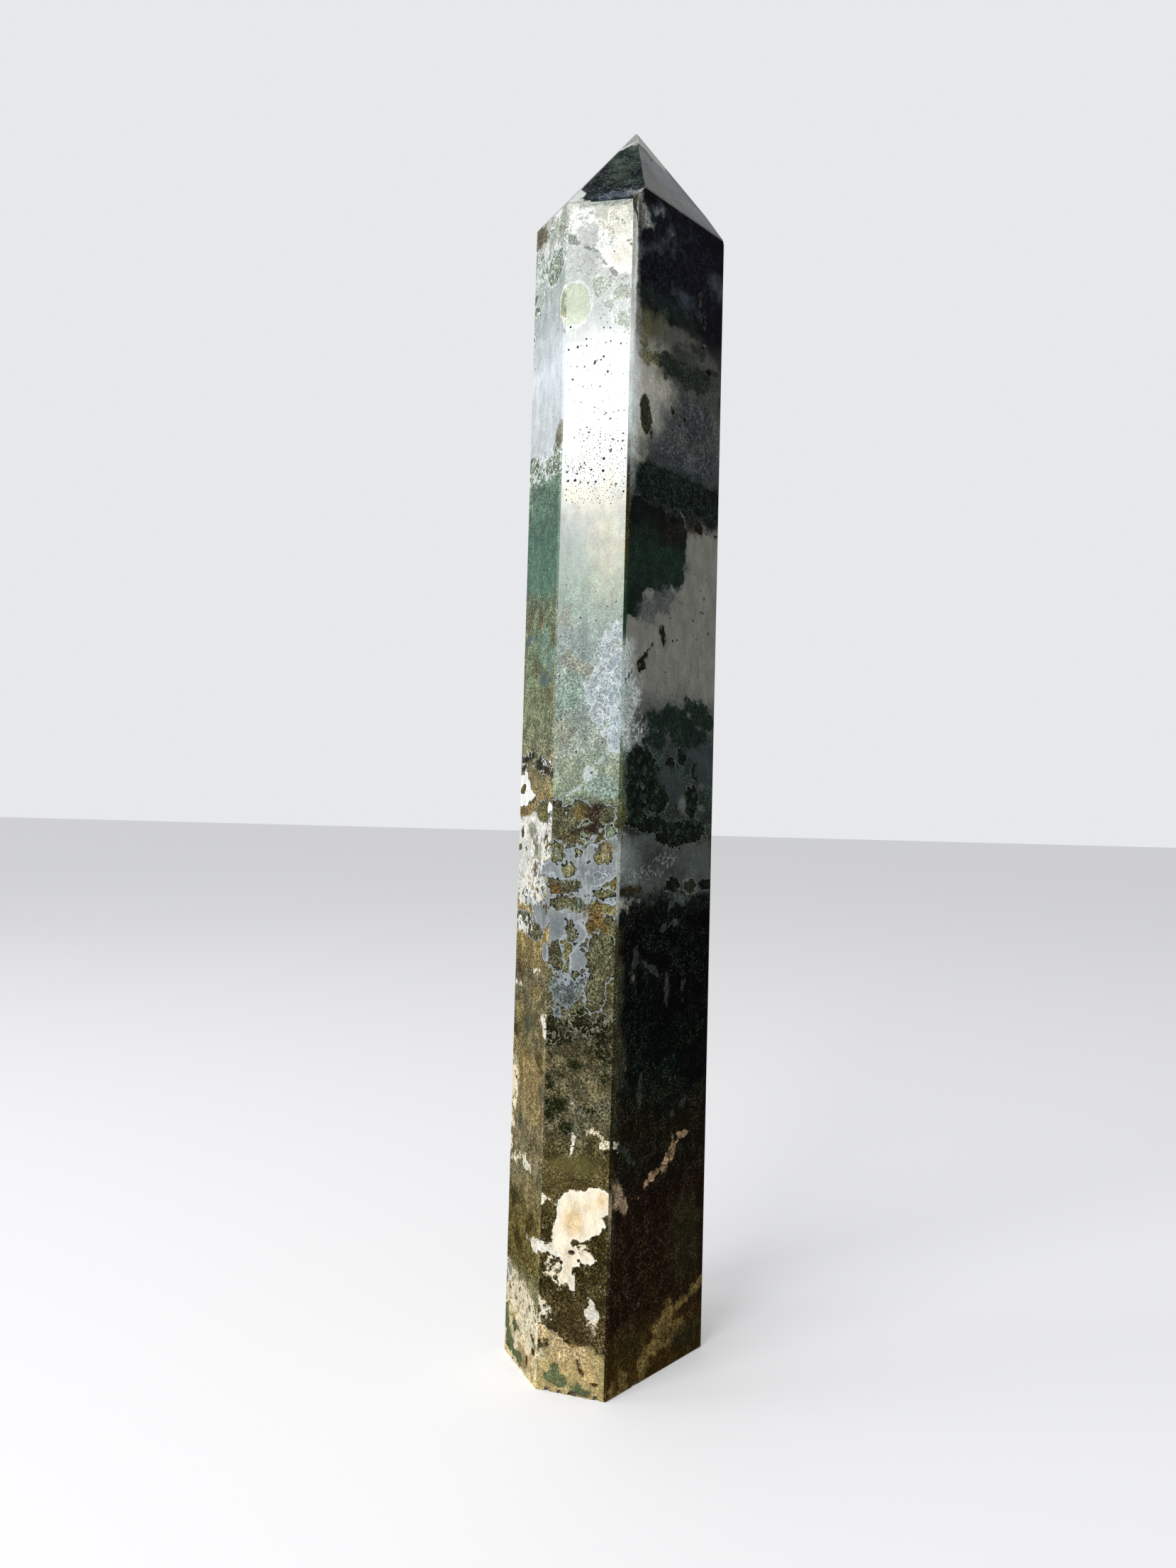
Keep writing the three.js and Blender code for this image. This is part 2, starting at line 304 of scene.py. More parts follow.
def sanded(nodes, at, colour, grain, glint):
    """Dark gaps and paler grains as coarse as the grain asks, in drifts, and changes of hue."""
    stirred = nodes.vector("MULTIPLY_ADD", nodes.noise(at, 1.0, 1.0, output="Color"), (1.0, 1.0, 1.0), at)
    cell = nodes.cells(stirred, 0.52)
    sand = nodes.noise(at, 0.74, 3.0, 0.75)
    drift = nodes.step(nodes.noise(at, 4.5, 2.0), 0.3, 0.65)
    grit = (sand - 0.5) * 3.6 + (0.4 - cell) * 1.6 + (drift - 0.5) * 0.6
    outlines = nodes.step(abs(nodes.noise(at, 2.2, 3.0, 0.65) - 0.5), 0.04, 0.0)
    amount = grain * (drift * 0.3 + 0.8)
    dark = nodes.math("MAXIMUM", nodes.step(grit, 0.0, -0.6), outlines * 0.8) * amount
    light = nodes.step(grit, 0.2, 0.8) * amount
    hue = nodes.noise(at, 7.0, 3.0)
    golden = nodes.step(hue, 0.52, 0.7) * grain * 0.45
    green = nodes.step(hue, 0.5, 0.32) * grain * 0.6
    colour = nodes.mix(golden, colour, nodes.mix(1.0, colour, (1.15, 1.0, 0.78), "MULTIPLY"))
    colour = nodes.mix(green, colour, nodes.mix(1.0, colour, (0.86, 1.0, 0.94), "MULTIPLY"))
    long = nodes.vector("MULTIPLY", at, (1, 1, 0.45))
    cloud = nodes.step(nodes.noise(long, 3.5, 4.0, 0.65), 0.32, 0.68)
    colour = nodes.mix(cloud * 0.4, colour, nodes.mix(1.0, colour, (0.4, 0.4, 0.4), "MULTIPLY"))
    colour = nodes.mix(dark, colour, nodes.mix(1.0, colour, (0.12, 0.12, 0.1), "MULTIPLY"))
    # Painted highlight: glint whitens the pale grains, strongly on lit faces and hardly on the shaded one
    bright = nodes.mix(glint, nodes.mix(1.0, colour, (2.0, 2.0, 1.9), "MULTIPLY"), srgb("e4e0cc"))
    colour = nodes.mix(light, colour, bright)
    # What the dark gaps and clouds take away on average is given back
    return [nodes.scaled(colour, grain * 0.34 + 1.08)]


SPOT_GROUP = group_of_nodes("nearest spot", {
    "At": "vector", "Scale": "vector", "Shift": "vector", "Size": "number", "Nearest": "number",
}, {"Nearest": "number"}, nearest_spot)
MARKING_GROUP = group_of_nodes("marking", {
    "Outside": "number", "Edge": "number", "Ragged": "number", "Soft": "number", "Strength": "number",
    "Paint": "colour", "Paint grain": "number", "Colour": "colour", "Grain": "number",
}, {"Colour": "colour", "Grain": "number"}, marking)
RIM_GROUP = group_of_nodes("rim", {
    "Outside": "number", "Edge": "number", "Ragged": "number", "Offset": "number", "Width": "number",
    "Paint": "colour", "Colour": "colour", "Grain": "number",
}, {"Colour": "colour", "Grain": "number"}, rim)
SAND_GROUP = group_of_nodes("sanded", {
    "At": "vector", "Colour": "colour", "Grain": "number", "Glint": "number",
}, {"Colour": "colour"}, sanded)


# A face as its shader sees it

FAR_AWAY = 1000.0
TURN_STEP = 15


class Face:
    """One flat face, with a measure of its own: along it, into the stone and up it, in millimetres."""

    def __init__(self, nodes, at, start, end, above):
        along = (end - start).normalized()
        outward = along.cross(above - start).normalized()
        upward = outward.cross(along)
        self.nodes = nodes
        self.at = at
        self.start = start
        self.axes = Matrix((along, -outward, upward)).transposed()
        self.measures = {}

    def measure(self, turn):
        """Place on the face by axes turned in the face; spots of one turn share them."""
        if turn not in self.measures:
            axes = self.axes @ Matrix.Rotation(-math.radians(turn), 3, "Y")
            self.measures[turn] = self.nodes.local(self.at, self.start, axes.to_euler())
        return self.measures[turn]

    def nearest(self, spots, deep):
        """How far outside the nearest spot a point lies, in millimetres; inside it is negative."""
        outside = FAR_AWAY
        for along, up, wide, high, *turn in spots:
            turn = TURN_STEP * round(turn[0] / TURN_STEP) if turn else 0
            middle = Matrix.Rotation(math.radians(turn), 3, "Y") @ Vector((along, 0, up))
            scale = Vector((1 / wide, 1 / deep, 1 / high))
            [outside] = self.nodes.use(SPOT_GROUP, {
                "At": self.measure(turn), "Scale": scale, "Shift": -middle * scale,
                "Size": min(wide, high), "Nearest": outside,
            })
        return outside


def side_face(nodes, at, index):
    return Face(nodes, at, corner_at(index, 0), corner_at(index + 1, 0), shoulder_corner(index))


def point_face(nodes, at, index):
    start = shoulder_corner(index)
    if index == RIGHT:
        start = SHOULDER_KINK
    if index == RIGHT_CORNER:
        start = corner_at(index, BACK_RIGHT_START_HEIGHT)
    return Face(nodes, at, start, shoulder_corner(index + 1), APEX)


# Colours of the stone, written down as they look on each face, with how coarse the grain is there

LEFT_GROUND = [
    (0, "ead28d", 0.7), (14, "c4b383", 0.7), (24, "867d5a", 0.7), (31, "96906f", 0.8),
    (35, "736841", 1.0), (50, "786c41", 1.0), (64, "847b5f", 0.9), (80, "8c8164", 0.9),
    (100, "9c8860", 0.9), (116, "7d7659", 1.0), (132, "7c725b", 1.0), (148, "af9865", 1.0),
    (158, "a89a6e", 1.0), (166, "c4c0af", 0.9), (186, "cdc8bf", 0.8), (189, "928257", 1.0),
    (200, "897f62", 1.0), (209, "808269", 1.0), (226, "81896b", 1.0), (246, "7a876b", 1.0),
    (258, "707862", 1.0), (264, "5c7a6a", 0.6), (286, "557062", 0.6), (298, "6c8674", 1.0),
    (308, "819485", 1.0), (312, "c2c9cc", 0.25), (340, "dbe2e8", 0.15), (358, "b3bdbd", 0.3),
    (378, "a6b0a8", 0.5), (396, "a1a69b", 0.5),
]
CENTRE_GROUND = [
    (0, "bda877", 0.6), (14, "b7a273", 0.6), (17, "5f5238", 1.0), (36, "4c442c", 1.0),
    (54, "504830", 1.0), (66, "665c3c", 0.8), (78, "5c5438", 1.0), (94, "746f59", 1.0),
    (108, "5c563f", 1.0), (118, "5b584a", 1.0), (128, "605e46", 1.0), (148, "7a724b", 1.0),
    (165, "7a724b", 1.0), (182, "645c3f", 1.0), (190, "5e5b45", 1.0), (193, "8e9982", 0.7),
    (208, "99a296", 0.7), (226, "8c9c96", 0.7), (246, "96a29f", 0.5), (260, "9bac9f", 0.25),
    (276, "9da79f", 0.15), (292, "a9aea9", 0.1), (300, "bcbdbc", 0.1), (344, "c1c5c3", 0.1),
    (350, "acb3b0", 0.25), (372, "b0b5b0", 0.3), (392, "b5b9b1", 0.4),
]
RIGHT_GROUND = [
    (0, "403008", 0.9), (12, "3c2c07", 0.9), (24, "221603", 0.8), (60, "201506", 0.8),
    (70, "1b1911", 0.9), (84, "201b11", 0.9), (100, "101711", 0.9), (125, "030806", 0.9),
    (150, "040807", 0.9), (160, "141814", 0.8), (164, "444946", 0.4), (176, "444946", 0.4),
    (182, "2d3430", 0.9), (205, "2c3935", 0.9), (212, "363c3a", 0.6), (224, "515551", 0.4),
    (232, "707068", 0.2), (262, "717069", 0.15), (288, "73736c", 0.15), (293, "151d1b", 0.9),
    (306, "1c2624", 0.9), (309, "3e4342", 0.5), (334, "414540", 0.5), (346, "3b3f3b", 0.4),
    (354, "2b2d2b", 0.4), (359, "070a13", 0.5), (397, "070913", 0.5),
]
EDGE_GROUND = [
    (0, "4a3c1e", 0.7), (24, "2c2412", 0.7), (50, "3a3424", 0.7), (60, "8a7a60", 0.5), (70, "2c2618", 0.7),
    (100, "2c2c20", 0.7), (150, "3c3c28", 0.7), (160, "8a908c", 0.4), (178, "8a908c", 0.4),
    (184, "4c4a2c", 0.7),
    (206, "5c6a54", 0.7), (214, "a0acac", 0.5), (240, "8a9a90", 0.5), (250, "2a3a2c", 0.4),
    (264, "26342a", 0.4),
    (274, "38341e", 0.5), (292, "322e1c", 0.5), (300, "34362e", 0.4), (308, "7c8680", 0.3),
    (316, "b8c2c0", 0.2), (346, "bcc4c0", 0.2), (358, "9ca29a", 0.3),
    (380, "94988e", 0.3), (397, "88887e", 0.3),
]
POINT_GROUNDS = {CENTRE: ("343b3c", 0.6), RIGHT: ("5e6262", 0.06), LEFT: ("a6aeac", 0.3)}

# Thin lines that follow a marking's border: how far outside it, how wide, and their colour
HALO = (0.5, 0.42, "969ea0")
FAINT_HALO = (0.5, 0.4, "a0a8a4")
OUTLINE = (0.0, 0.22, "1c1a12")
WHITE_RIM = (-0.35, 0.45, "f4f4ee")
CREAM_RIM = (-0.3, 0.35, "fdf8ec")


class Marking:
    """The spots that a marking covers on each face, its colour as it looks there, and its border."""

    def __init__(self, colour, spots, grain=0.2, ragged=0.8, soft=0.4, lines=(), pattern=None,
                 strength=1.0, deep=4.0, edge="ragged"):
        self.colour = colour
        self.spots = spots
        self.grain = grain
        self.ragged = ragged
        self.soft = soft
        self.lines = lines
        self.pattern = pattern
        self.strength = strength
        self.deep = deep
        self.edge = edge


# Markings, from the base up. A spot is: along the face, height, half width, half height, turn in degrees.
MARKINGS = {
    "golden lace at the foot": Marking("eee1bd", {
        BACK_LEFT: [(42, 16, 14, 14)], BACK: [(6, 10, 8, 8)],
        LEFT: [(14, 12, 22, 17, 15)],
    }, grain=0.6, ragged=1.4, pattern="lace", soft=1.0),
    "white lace at the foot": Marking("ece0c4", {
        BACK_LEFT: [(48, 24, 6, 5), (36, 12, 6, 4), (24, 20, 5, 3)], BACK: [(5, 12, 6, 5)],
        LEFT: [(6, 24, 10, 7), (22, 20, 9, 7), (14, 8, 14, 6)],
        CENTRE: [(1, 24, 3, 4), (3, 19, 4, 2, -30), (1, 14, 2, 4)],
    }, grain=0.4, ragged=2.2, soft=0.8, pattern="net"),
    "tan lace at the foot": Marking("c8b286", {
        CENTRE: [(8, 14, 9, 2.6, -15), (3, 18, 4, 2.4)],
        LEFT: [(20, 5, 9, 4), (6, 10, 5, 2)],
    }, grain=0.8, ragged=2.4, soft=0.8),
    "green patches at the foot": Marking("6c7454", {
        BACK_LEFT: [(50, 7, 5, 4), (28, 8, 6, 4)], BACK: [(16, 12, 5, 5)], BACK_RIGHT: [(14, 8, 8, 5)],
        CENTRE: [(7, 5.5, 4.2, 2.6, -30), (15, 3, 3, 1.6)],
        LEFT: [(1.5, 13, 3, 5), (6, 6, 4, 4), (10, 12.5, 3, 2), (12, 3, 5, 2)],
    }, grain=0.6, ragged=1.3),
    "brown cracks at the foot": Marking("54402c", {
        LEFT: [(27, 14.5, 2.5, 0.8, -30), (22, 5.5, 0.6, 1.8), (27.5, 10.8, 0.9, 0.8), (3, 3, 2, 0.6)],
        CENTRE: [(16, 8, 0.5, 2.4, 30), (20, 5, 1.8, 0.6)],
    }, grain=0.6, ragged=0.7),
    "tan patches on the wide foot": Marking("705e34", {
        RIGHT: [(29, 14, 8, 4, 45), (45, 20.5, 8, 1.5, 15), (20, 7, 6, 3, 45), (38, 11, 4, 2, 30),
                (9, 4, 6, 2, 15)],
    }, grain=0.9, ragged=2.2, soft=1.2),
    "green on the wide foot": Marking("2b2816", {
        RIGHT: [(44, 7, 8, 5), (42, 42, 9, 16), (12, 14, 5, 3)],
    }, grain=0.8, ragged=2.0, soft=3.0, strength=0.8),
    "golden streaks on the wide foot": Marking("4a3d20", {
        RIGHT: [(18, 30, 22, 26), (36, 22, 16, 14)],
    }, grain=0.8, ragged=2.0, soft=6.0, pattern="threads", strength=0.4),
    "grey ring at the left foot": Marking("a8a694", {
        LEFT: [(3, 29, 4, 3)],
    }, lines=[CREAM_RIM], grain=0.7, ragged=1.6),
    "cream spot": Marking("fff2d8", {
        BACK: [(9, 66, 6, 8, 15), (14, 74, 4, 4), (5, 56, 3, 5)], BACK_LEFT: [(18, 88, 5, 6, -15),
               (24, 95, 3, 3)],
        CENTRE: [(13.8, 57, 7.5, 8.2, 30), (19.8, 62, 5.2, 4.4), (8.4, 50, 3.4, 6.5),
                 (11, 44, 4.6, 3.2, -15),
                 (9.5, 38.5, 2.2, 4), (16, 44, 3.0, 1.8), (11.6, 36, 1.4, 3)],
    }, grain=0.12, ragged=0.9, soft=0.25, lines=[CREAM_RIM]),
    "lacy fringe of the cream spot": Marking("f6e8cc", {
        CENTRE: [(7, 43, 5, 6), (14, 46, 4, 3), (9, 37, 3, 5), (3, 45.4, 3.4, 2), (18, 27.6, 1.4, 2.2),
                 (18.6, 24.4, 1.0, 2)],
    }, grain=0.3, ragged=2.0, soft=0.8, pattern="lace"),
    "cream spot beyond the edge": Marking("8e7b63", {
        RIGHT: [(2.0, 63.8, 5.4, 4, -30), (7.6, 60.8, 1.6, 2.6)],
    }, grain=0.8, ragged=1.4, soft=1.0),
    "peach heart of the cream spot": Marking("f0cd98", {
        BACK: [(9, 65, 2.6, 3.6)], BACK_LEFT: [(18, 87, 2.0, 2.6)],
        CENTRE: [(12, 55, 3.0, 4.6), (21, 63, 1.2, 1.4), (15, 60, 1.4, 0.7)],
    }, grain=0.3, ragged=0.9, soft=1.8, strength=0.75),
    "notch in the cream spot": Marking("4c442c", {
        CENTRE: [(21.2, 48.4, 4.4, 3.2), (2.4, 52, 1.6, 5)],
    }, grain=1.0, ragged=0.9, soft=0.3),
    "holes in the cream spot": Marking("3a3222", {
        CENTRE: [(11.5, 45.3, 1.1, 0.8), (6.9, 42.3, 0.9, 0.8), (14, 43, 0.7, 0.7), (5, 44.8, 0.7, 0.5)],
    }, grain=0.3, ragged=0.3, soft=0.2),
    "small white bits": Marking("ece6d6", {
        CENTRE: [(2.2, 45, 2.4, 1.2), (0.8, 46.5, 0.8, 1.6), (18, 29, 0.9, 1.6), (18.4, 26.4, 1.3, 0.8),
                 (2.4, 25, 1.8, 1.2),
                 (5, 23, 1, 0.8), (11, 84, 0.5, 4.5), (4, 60, 1.6, 0.4, -15)],
        LEFT: [(26, 45.5, 3.6, 1.8), (16.5, 68.4, 2, 0.5), (20.8, 134, 1.8, 0.45, 15), (3, 128, 3, 0.9),
               (10, 127.4, 0.8, 0.8),
               (13.2, 146.3, 1.2, 0.6), (7.9, 149.5, 2, 0.8), (16.8, 149, 2.0, 0.7, -45),
               (29, 118, 1.0, 2.4)],
    }, grain=0.4, ragged=1.8, soft=0.3),
    "cream flakes on the left edge": Marking("f8ecd0", {
        BACK_LEFT: [(53, 71, 2, 3), (52, 94, 2, 5), (40, 80, 3, 2)],
        LEFT: [(0, 71, 3.4, 4), (7, 68.5, 6, 1.6, 15), (0.6, 79, 2.4, 3), (2.4, 94.5, 4.8, 7),
               (1.5, 86.5, 2.8, 3)],
    }, grain=0.3, ragged=1.8, soft=0.4, pattern="lace"),
    "heart of the cream flakes": Marking("f8ecd0", {
        LEFT: [(1.6, 94, 2.8, 5), (0.6, 71, 1.6, 2.4), (0.4, 80, 1.2, 2)],
    }, grain=0.3, ragged=1.2, soft=0.4),
    "grey blots on the left face": Marking("56584c", {
        LEFT: [(9.8, 81, 2.4, 2.4), (28.5, 95, 2.0, 5), (22, 110, 5, 0.8), (14, 116, 6, 3)],
    }, grain=0.6, soft=1.2, ragged=1.2, strength=0.8),
    "golden brown on the left face": Marking("96865c", {
        BACK_LEFT: [(20, 130, 10, 6), (44, 110, 8, 5), (34, 70, 8, 5)], BACK: [(8, 126, 7, 6)],
        LEFT: [(12, 101, 8, 5), (22, 86, 6, 4), (14, 140, 9, 6), (22, 126, 6, 4), (20, 60, 7, 4),
               (6, 118, 4, 4)],
    }, grain=1.0, soft=2.0, ragged=1.8, strength=0.7),
    "dark pockets on the left face": Marking("453e28", {
        BACK_LEFT: [(12, 50, 8, 5), (36, 46, 9, 4), (28, 120, 6, 4), (46, 130, 5, 4)],
        LEFT: [(6, 55, 4, 3), (22, 50, 5, 3), (10, 42, 6, 3), (4, 112, 3, 3), (20, 76, 4, 2),
               (26, 104, 3, 3), (6, 132, 4, 2)],
    }, grain=0.9, soft=1.4, ragged=2.0, strength=0.7),
    "smooth olive": Marking("6a6240", {
        CENTRE: [(12, 73, 8, 2.8)],
    }, grain=0.4, ragged=0.8, soft=1.6),
    "cream lace by the front edge": Marking("e6d8b8", {
        CENTRE: [(19.5, 83.5, 5.5, 1.3, -30), (22, 80.5, 2.4, 2.2), (16, 86, 1.6, 0.7, -30)],
        RIGHT: [(0.5, 81, 1.6, 2.4)],
    }, grain=0.9, ragged=1.5, soft=0.25),
    "dark green patches": Marking("383b2a", {
        BACK: [(8, 98, 6, 6), (16, 108, 5, 3)], BACK_LEFT: [(30, 104, 7, 5), (12, 118, 6, 8)],
        BACK_RIGHT: [(22, 60, 8, 10)],
        CENTRE: [(3.5, 94, 4.6, 7), (11, 106, 7, 1.8, 30), (16, 92, 3, 5, 45), (9, 86, 4, 2.4),
                 (21, 99, 2, 5), (6, 102, 4, 1.4, -30)],
    }, grain=1.0, ragged=2.6, soft=1.6),
    "golden ochre": Marking("786e50", {
        CENTRE: [(4, 105.5, 3.6, 2.6), (10, 99, 6, 2, 30), (18, 96, 5, 3, 30), (15, 88, 4, 1.6)],
    }, grain=1.0, ragged=2.4, soft=1.2, strength=0.8),
    "sparkling band": Marking("363728", {
        CENTRE: [(4, 116, 6, 4.6), (12, 120, 5, 4.4), (19, 118, 4, 6), (21, 110, 3, 3)],
    }, grain=1.0, ragged=2.0, soft=0.5),
    "white threads of the sparkling band": Marking("a0a08e", {
        CENTRE: [(14, 120, 10, 6), (13, 86, 4, 6), (4, 113, 4, 2)],
    }, pattern="threads", ragged=2.4, soft=2.0, strength=0.6),
    "rings on the front edge": Marking("1c1a12", {
        RIGHT: [(2.6, 108.7, 1.5, 1.2), (6.0, 104.2, 0.5, 0.5), (9, 133.6, 0.8, 1.2)],
    }, ragged=1.4, soft=0.5, lines=[(0.1, 0.3, "46463e")]),
    "olive side of the front edge": Marking("38392a", {
        RIGHT: [(0, 132, 3.4, 16), (0, 108, 5.4, 12), (0, 90, 3.0, 10), (0, 60, 2, 10)],
    }, grain=0.9, ragged=1.2, soft=2.0),
    "tan vein": Marking("9a8062", {
        BACK_RIGHT: [(12, 80, 6, 0.8, 30), (18, 88, 1.2, 5)],
        RIGHT: [(24.5, 66.8, 4.6, 0.6, 15), (30.5, 69.8, 3.4, 1.6, 30), (33.6, 74, 1.9, 3.6, -15),
                (38, 77.6, 2.0, 0.5),
                (12, 62, 2, 0.5, -15)],
    }, grain=1.0, ragged=1.6, soft=0.5),
    "dark line in the tan vein": Marking("3c2e1e", {
        RIGHT: [(26, 67, 5, 3), (33, 73, 3, 5)],
    }, grain=0.6, ragged=1.0, soft=0.8, pattern="threads", strength=0.8),
    "green shine low on the wide face": Marking("15231d", {
        RIGHT: [(12, 120, 10, 20), (30, 96, 12, 12), (40, 140, 10, 10), (20, 146, 10, 6), (40, 155, 14, 7)],
    }, grain=0.8, ragged=2.6, soft=2.0, pattern="threads", strength=0.8),
    "black depths": Marking("060a0a", {
        RIGHT: [(34, 124, 14, 9), (44, 100, 8, 9), (22, 136, 6, 5), (46, 150, 6, 5), (24, 108, 6, 5)],
    }, grain=0.4, ragged=2.2, soft=1.6, strength=0.8),
    "faint veins": Marking("343a36", {
        BACK_RIGHT: [(10, 130, 1, 6), (20, 120, 4, 0.8, 15)],
        RIGHT: [(23, 133, 4.4, 0.6, -30), (28, 128, 0.7, 4), (37, 129, 0.9, 3.4),
                (20, 157.4, 3.6, 0.8, -15),
                (10, 140, 1.2, 3), (30, 150, 4, 0.6, 15), (14, 96, 0.8, 5), (38, 88, 6, 0.8, 30),
                (8, 76, 3, 0.6, -45)],
    }, grain=0.8, ragged=1.2, soft=0.6, strength=0.8),
    "grey chalcedony": Marking("898f8e", {
        BACK: [(12, 170, 14, 6.5), (6, 158, 3, 8), (15, 150, 4, 6)], BACK_RIGHT: [(14, 171, 18, 6)],
        BACK_LEFT: [(40, 166, 14, 6), (20, 172, 16, 4, -15), (30, 155, 4, 7), (10, 150, 6, 5)],
        CENTRE: [(12, 170, 14, 7.5), (12, 162, 4, 6), (9, 153.5, 6, 3), (2, 150, 5.4, 6.4),
                 (11, 148, 2.4, 7),
                 (11.5, 139, 4.4, 5.6), (13.6, 136, 1.6, 3, -30), (21, 159, 4, 1.6, -15),
                 (20, 147, 1.6, 1.6),
                 (22, 176, 3, 5)],
        LEFT: [(15, 156.4, 6, 2.0, -15), (24, 153, 7, 5.0, -15), (29, 158, 2.4, 5), (27.8, 140.6, 2.8, 3),
               (26, 168.4, 7, 2.8)],
    }, grain=0.12, ragged=0.9, soft=0.3, lines=[(-0.45, 0.4, "aab2b6"), (0.1, 0.2, "2c2a20")]),
    "slate heart of the chalcedony": Marking("747b84", {
        BACK_LEFT: [(40, 166, 9, 3), (20, 172, 10, 1.6, -15)],
        CENTRE: [(15, 167.4, 7, 2.2), (2.4, 150, 2.4, 3.4), (11.5, 139, 2.0, 2.8), (7, 161.6, 2.4, 1.6)],
        LEFT: [(26, 153, 4, 2.4, -15), (27, 168.6, 4, 1.2)],
    }, grain=0.35, ragged=1.6, soft=2.2, strength=0.65),
    "bright flecks in the slate heart": Marking("c6ccd2", {
        CENTRE: [(16, 167, 7, 2.2)],
    }, grain=0.5, ragged=1.4, soft=1.4, pattern="threads", strength=0.6),
    "dull chalcedony pocket": Marking("666c6c", {
        CENTRE: [(7.5, 128, 5.2, 6.6, -15), (12.5, 131, 2.6, 3.0)],
    }, grain=0.9, ragged=1.8, soft=0.6, lines=[(-0.3, 0.4, "8a9294")]),
    "chalcedony at the front edge": Marking("888b80", {
        RIGHT: [(0, 157, 6, 2.6), (0, 172, 4, 7)],
    }, grain=0.7, ragged=1.8, soft=1.6),
    "olive masses": Marking("63624b", {
        BACK: [(4, 180, 5, 7), (18, 184, 6, 6), (10, 160, 3, 3), (19, 158, 4, 5), (3, 148, 4, 7),
               (18, 140, 5, 6)],
        BACK_LEFT: [(48, 178, 4, 5), (36, 180, 6, 5), (24, 182, 7, 6), (10, 178, 8, 7), (44, 156, 5, 4),
                    (35, 150, 4, 5),
                    (22, 156, 5, 6), (12, 162, 4, 3), (4, 166, 4, 4)],
        BACK_RIGHT: [(24, 181, 6, 4), (8, 183, 5, 3), (22, 160, 4, 3)],
        CENTRE: [(3, 181, 4.2, 10), (10, 183, 6, 8), (18, 186, 4.5, 4), (4.4, 157.4, 5.4, 2.4),
                 (9.4, 157, 3.6, 2.8),
                 (3, 163, 4.4, 2.4), (8.4, 163, 3.6, 2.0), (19.6, 161, 4.4, 1.8), (3.4, 140, 2.8, 4.6),
                 (8.6, 148.4, 1.6, 4.6, 15),
                 (19, 140, 5.4, 8), (21, 150, 3, 4), (17, 129, 3.4, 6), (12.3, 142.4, 0.9, 0.9),
                 (10, 134, 3.6, 1.0, 30)],
        LEFT: [(7, 150, 8, 2.6), (18, 147, 7, 2.6), (8, 159.4, 4, 1.2)],
    }, grain=1.0, ragged=1.0, soft=0.18, edge="lobed", lines=[HALO, OUTLINE]),
    "olive blobs": Marking("6e6b48", {
        BACK: [(12, 172, 2.6, 2.4)], BACK_LEFT: [(30, 168, 3, 3), (43, 169, 2.4, 2.6), (16, 170, 2.5, 2)],
        CENTRE: [(18.6, 174, 3.2, 3.4), (2.6, 174, 2.8, 3.2), (6.6, 168.4, 2.7, 2.3),
                 (9.6, 174.4, 1.3, 1.4),
                 (14, 171.6, 0.6, 0.6), (14.2, 160.2, 0.5, 0.5)],
        LEFT: [(27, 176.4, 3.0, 3.6), (22.4, 162, 3.2, 2.8), (29, 164.5, 1.2, 1.5), (23, 187, 6, 4)],
    }, grain=1.0, ragged=1.0, soft=0.18, edge="lobed", lines=[HALO, OUTLINE]),
    "sage blob": Marking("84927a", {
        CENTRE: [(21, 181.4, 2.0, 2.0), (13, 181.4, 2.2, 3)],
    }, grain=0.8, soft=0.18, edge="lobed", lines=[FAINT_HALO, OUTLINE]),
    "rust": Marking("644f31", {
        BACK: [(15, 186, 3, 3)], BACK_LEFT: [(28, 189, 4, 3)],
        CENTRE: [(16.8, 153.6, 3.2, 3.6), (8, 179, 2.6, 2), (2.8, 162.6, 1.4, 0.9)],
        LEFT: [(26.8, 155.3, 1.4, 0.8)],
    }, grain=1.0, ragged=2.2, soft=1.2),
    "gold": Marking("7d6c42", {
        CENTRE: [(10.8, 187, 2.6, 2.4, -30), (18, 152, 1.6, 1.4), (19.8, 176, 1.6, 1.2)],
    }, grain=0.9, ragged=2.0, soft=1.2, strength=0.85),
    "dark brown patch": Marking("3e3328", {
        CENTRE: [(16.6, 186, 3.4, 5.0, 15), (15, 181.6, 2.4, 2.2, 30), (8.8, 180, 2.4, 1.4),
                 (19, 183, 1.4, 2)],
    }, grain=1.0, ragged=2.4, soft=1.4),
    "milk between the lace": Marking("d6d6ce", {
        BACK_LEFT: [(46, 178, 10, 8)],
        LEFT: [(8, 178, 11, 8), (5, 170, 6, 4), (15, 184, 5, 3), (22, 181, 4, 1.0, -15)],
    }, grain=0.3, ragged=2.0, soft=0.8),
    "lace of the left face": Marking("f2f1ea", {
        BACK_LEFT: [(46, 178, 10, 8), (40, 190, 8, 5)],
        LEFT: [(10, 163, 15, 8), (20, 175, 8, 9), (10, 182, 10, 4), (6, 148, 8, 3)],
    }, pattern="net", ragged=2.0, soft=0.8, strength=0.95),
    "holes in the lace": Marking("6c6040", {
        LEFT: [(4.1, 180.6, 0.8, 1.2), (2.5, 175.2, 1.4, 1.0), (7.9, 174.5, 1.0, 0.9),
               (12.6, 179.6, 1.0, 1.4)],
    }, grain=0.9, ragged=0.9, soft=0.3, lines=[(0.0, 0.2, "3c3828")]),
    "brown columns in the lace": Marking("544030", {
        LEFT: [(17, 177.6, 1.2, 3.0), (15, 177, 1.2, 1.4), (16.8, 167.7, 1.0, 2.0), (18.4, 174, 0.8, 1.4)],
    }, grain=1.0, ragged=1.8, soft=0.9, strength=0.85),
    "sage in the lace": Marking("9ca088", {
        LEFT: [(12.6, 181, 3.6, 3), (19.6, 173.6, 3.4, 2.6)],
    }, grain=0.8, ragged=1.4, soft=0.8, strength=0.8),
    "bright white star": Marking("fbfaf4", {
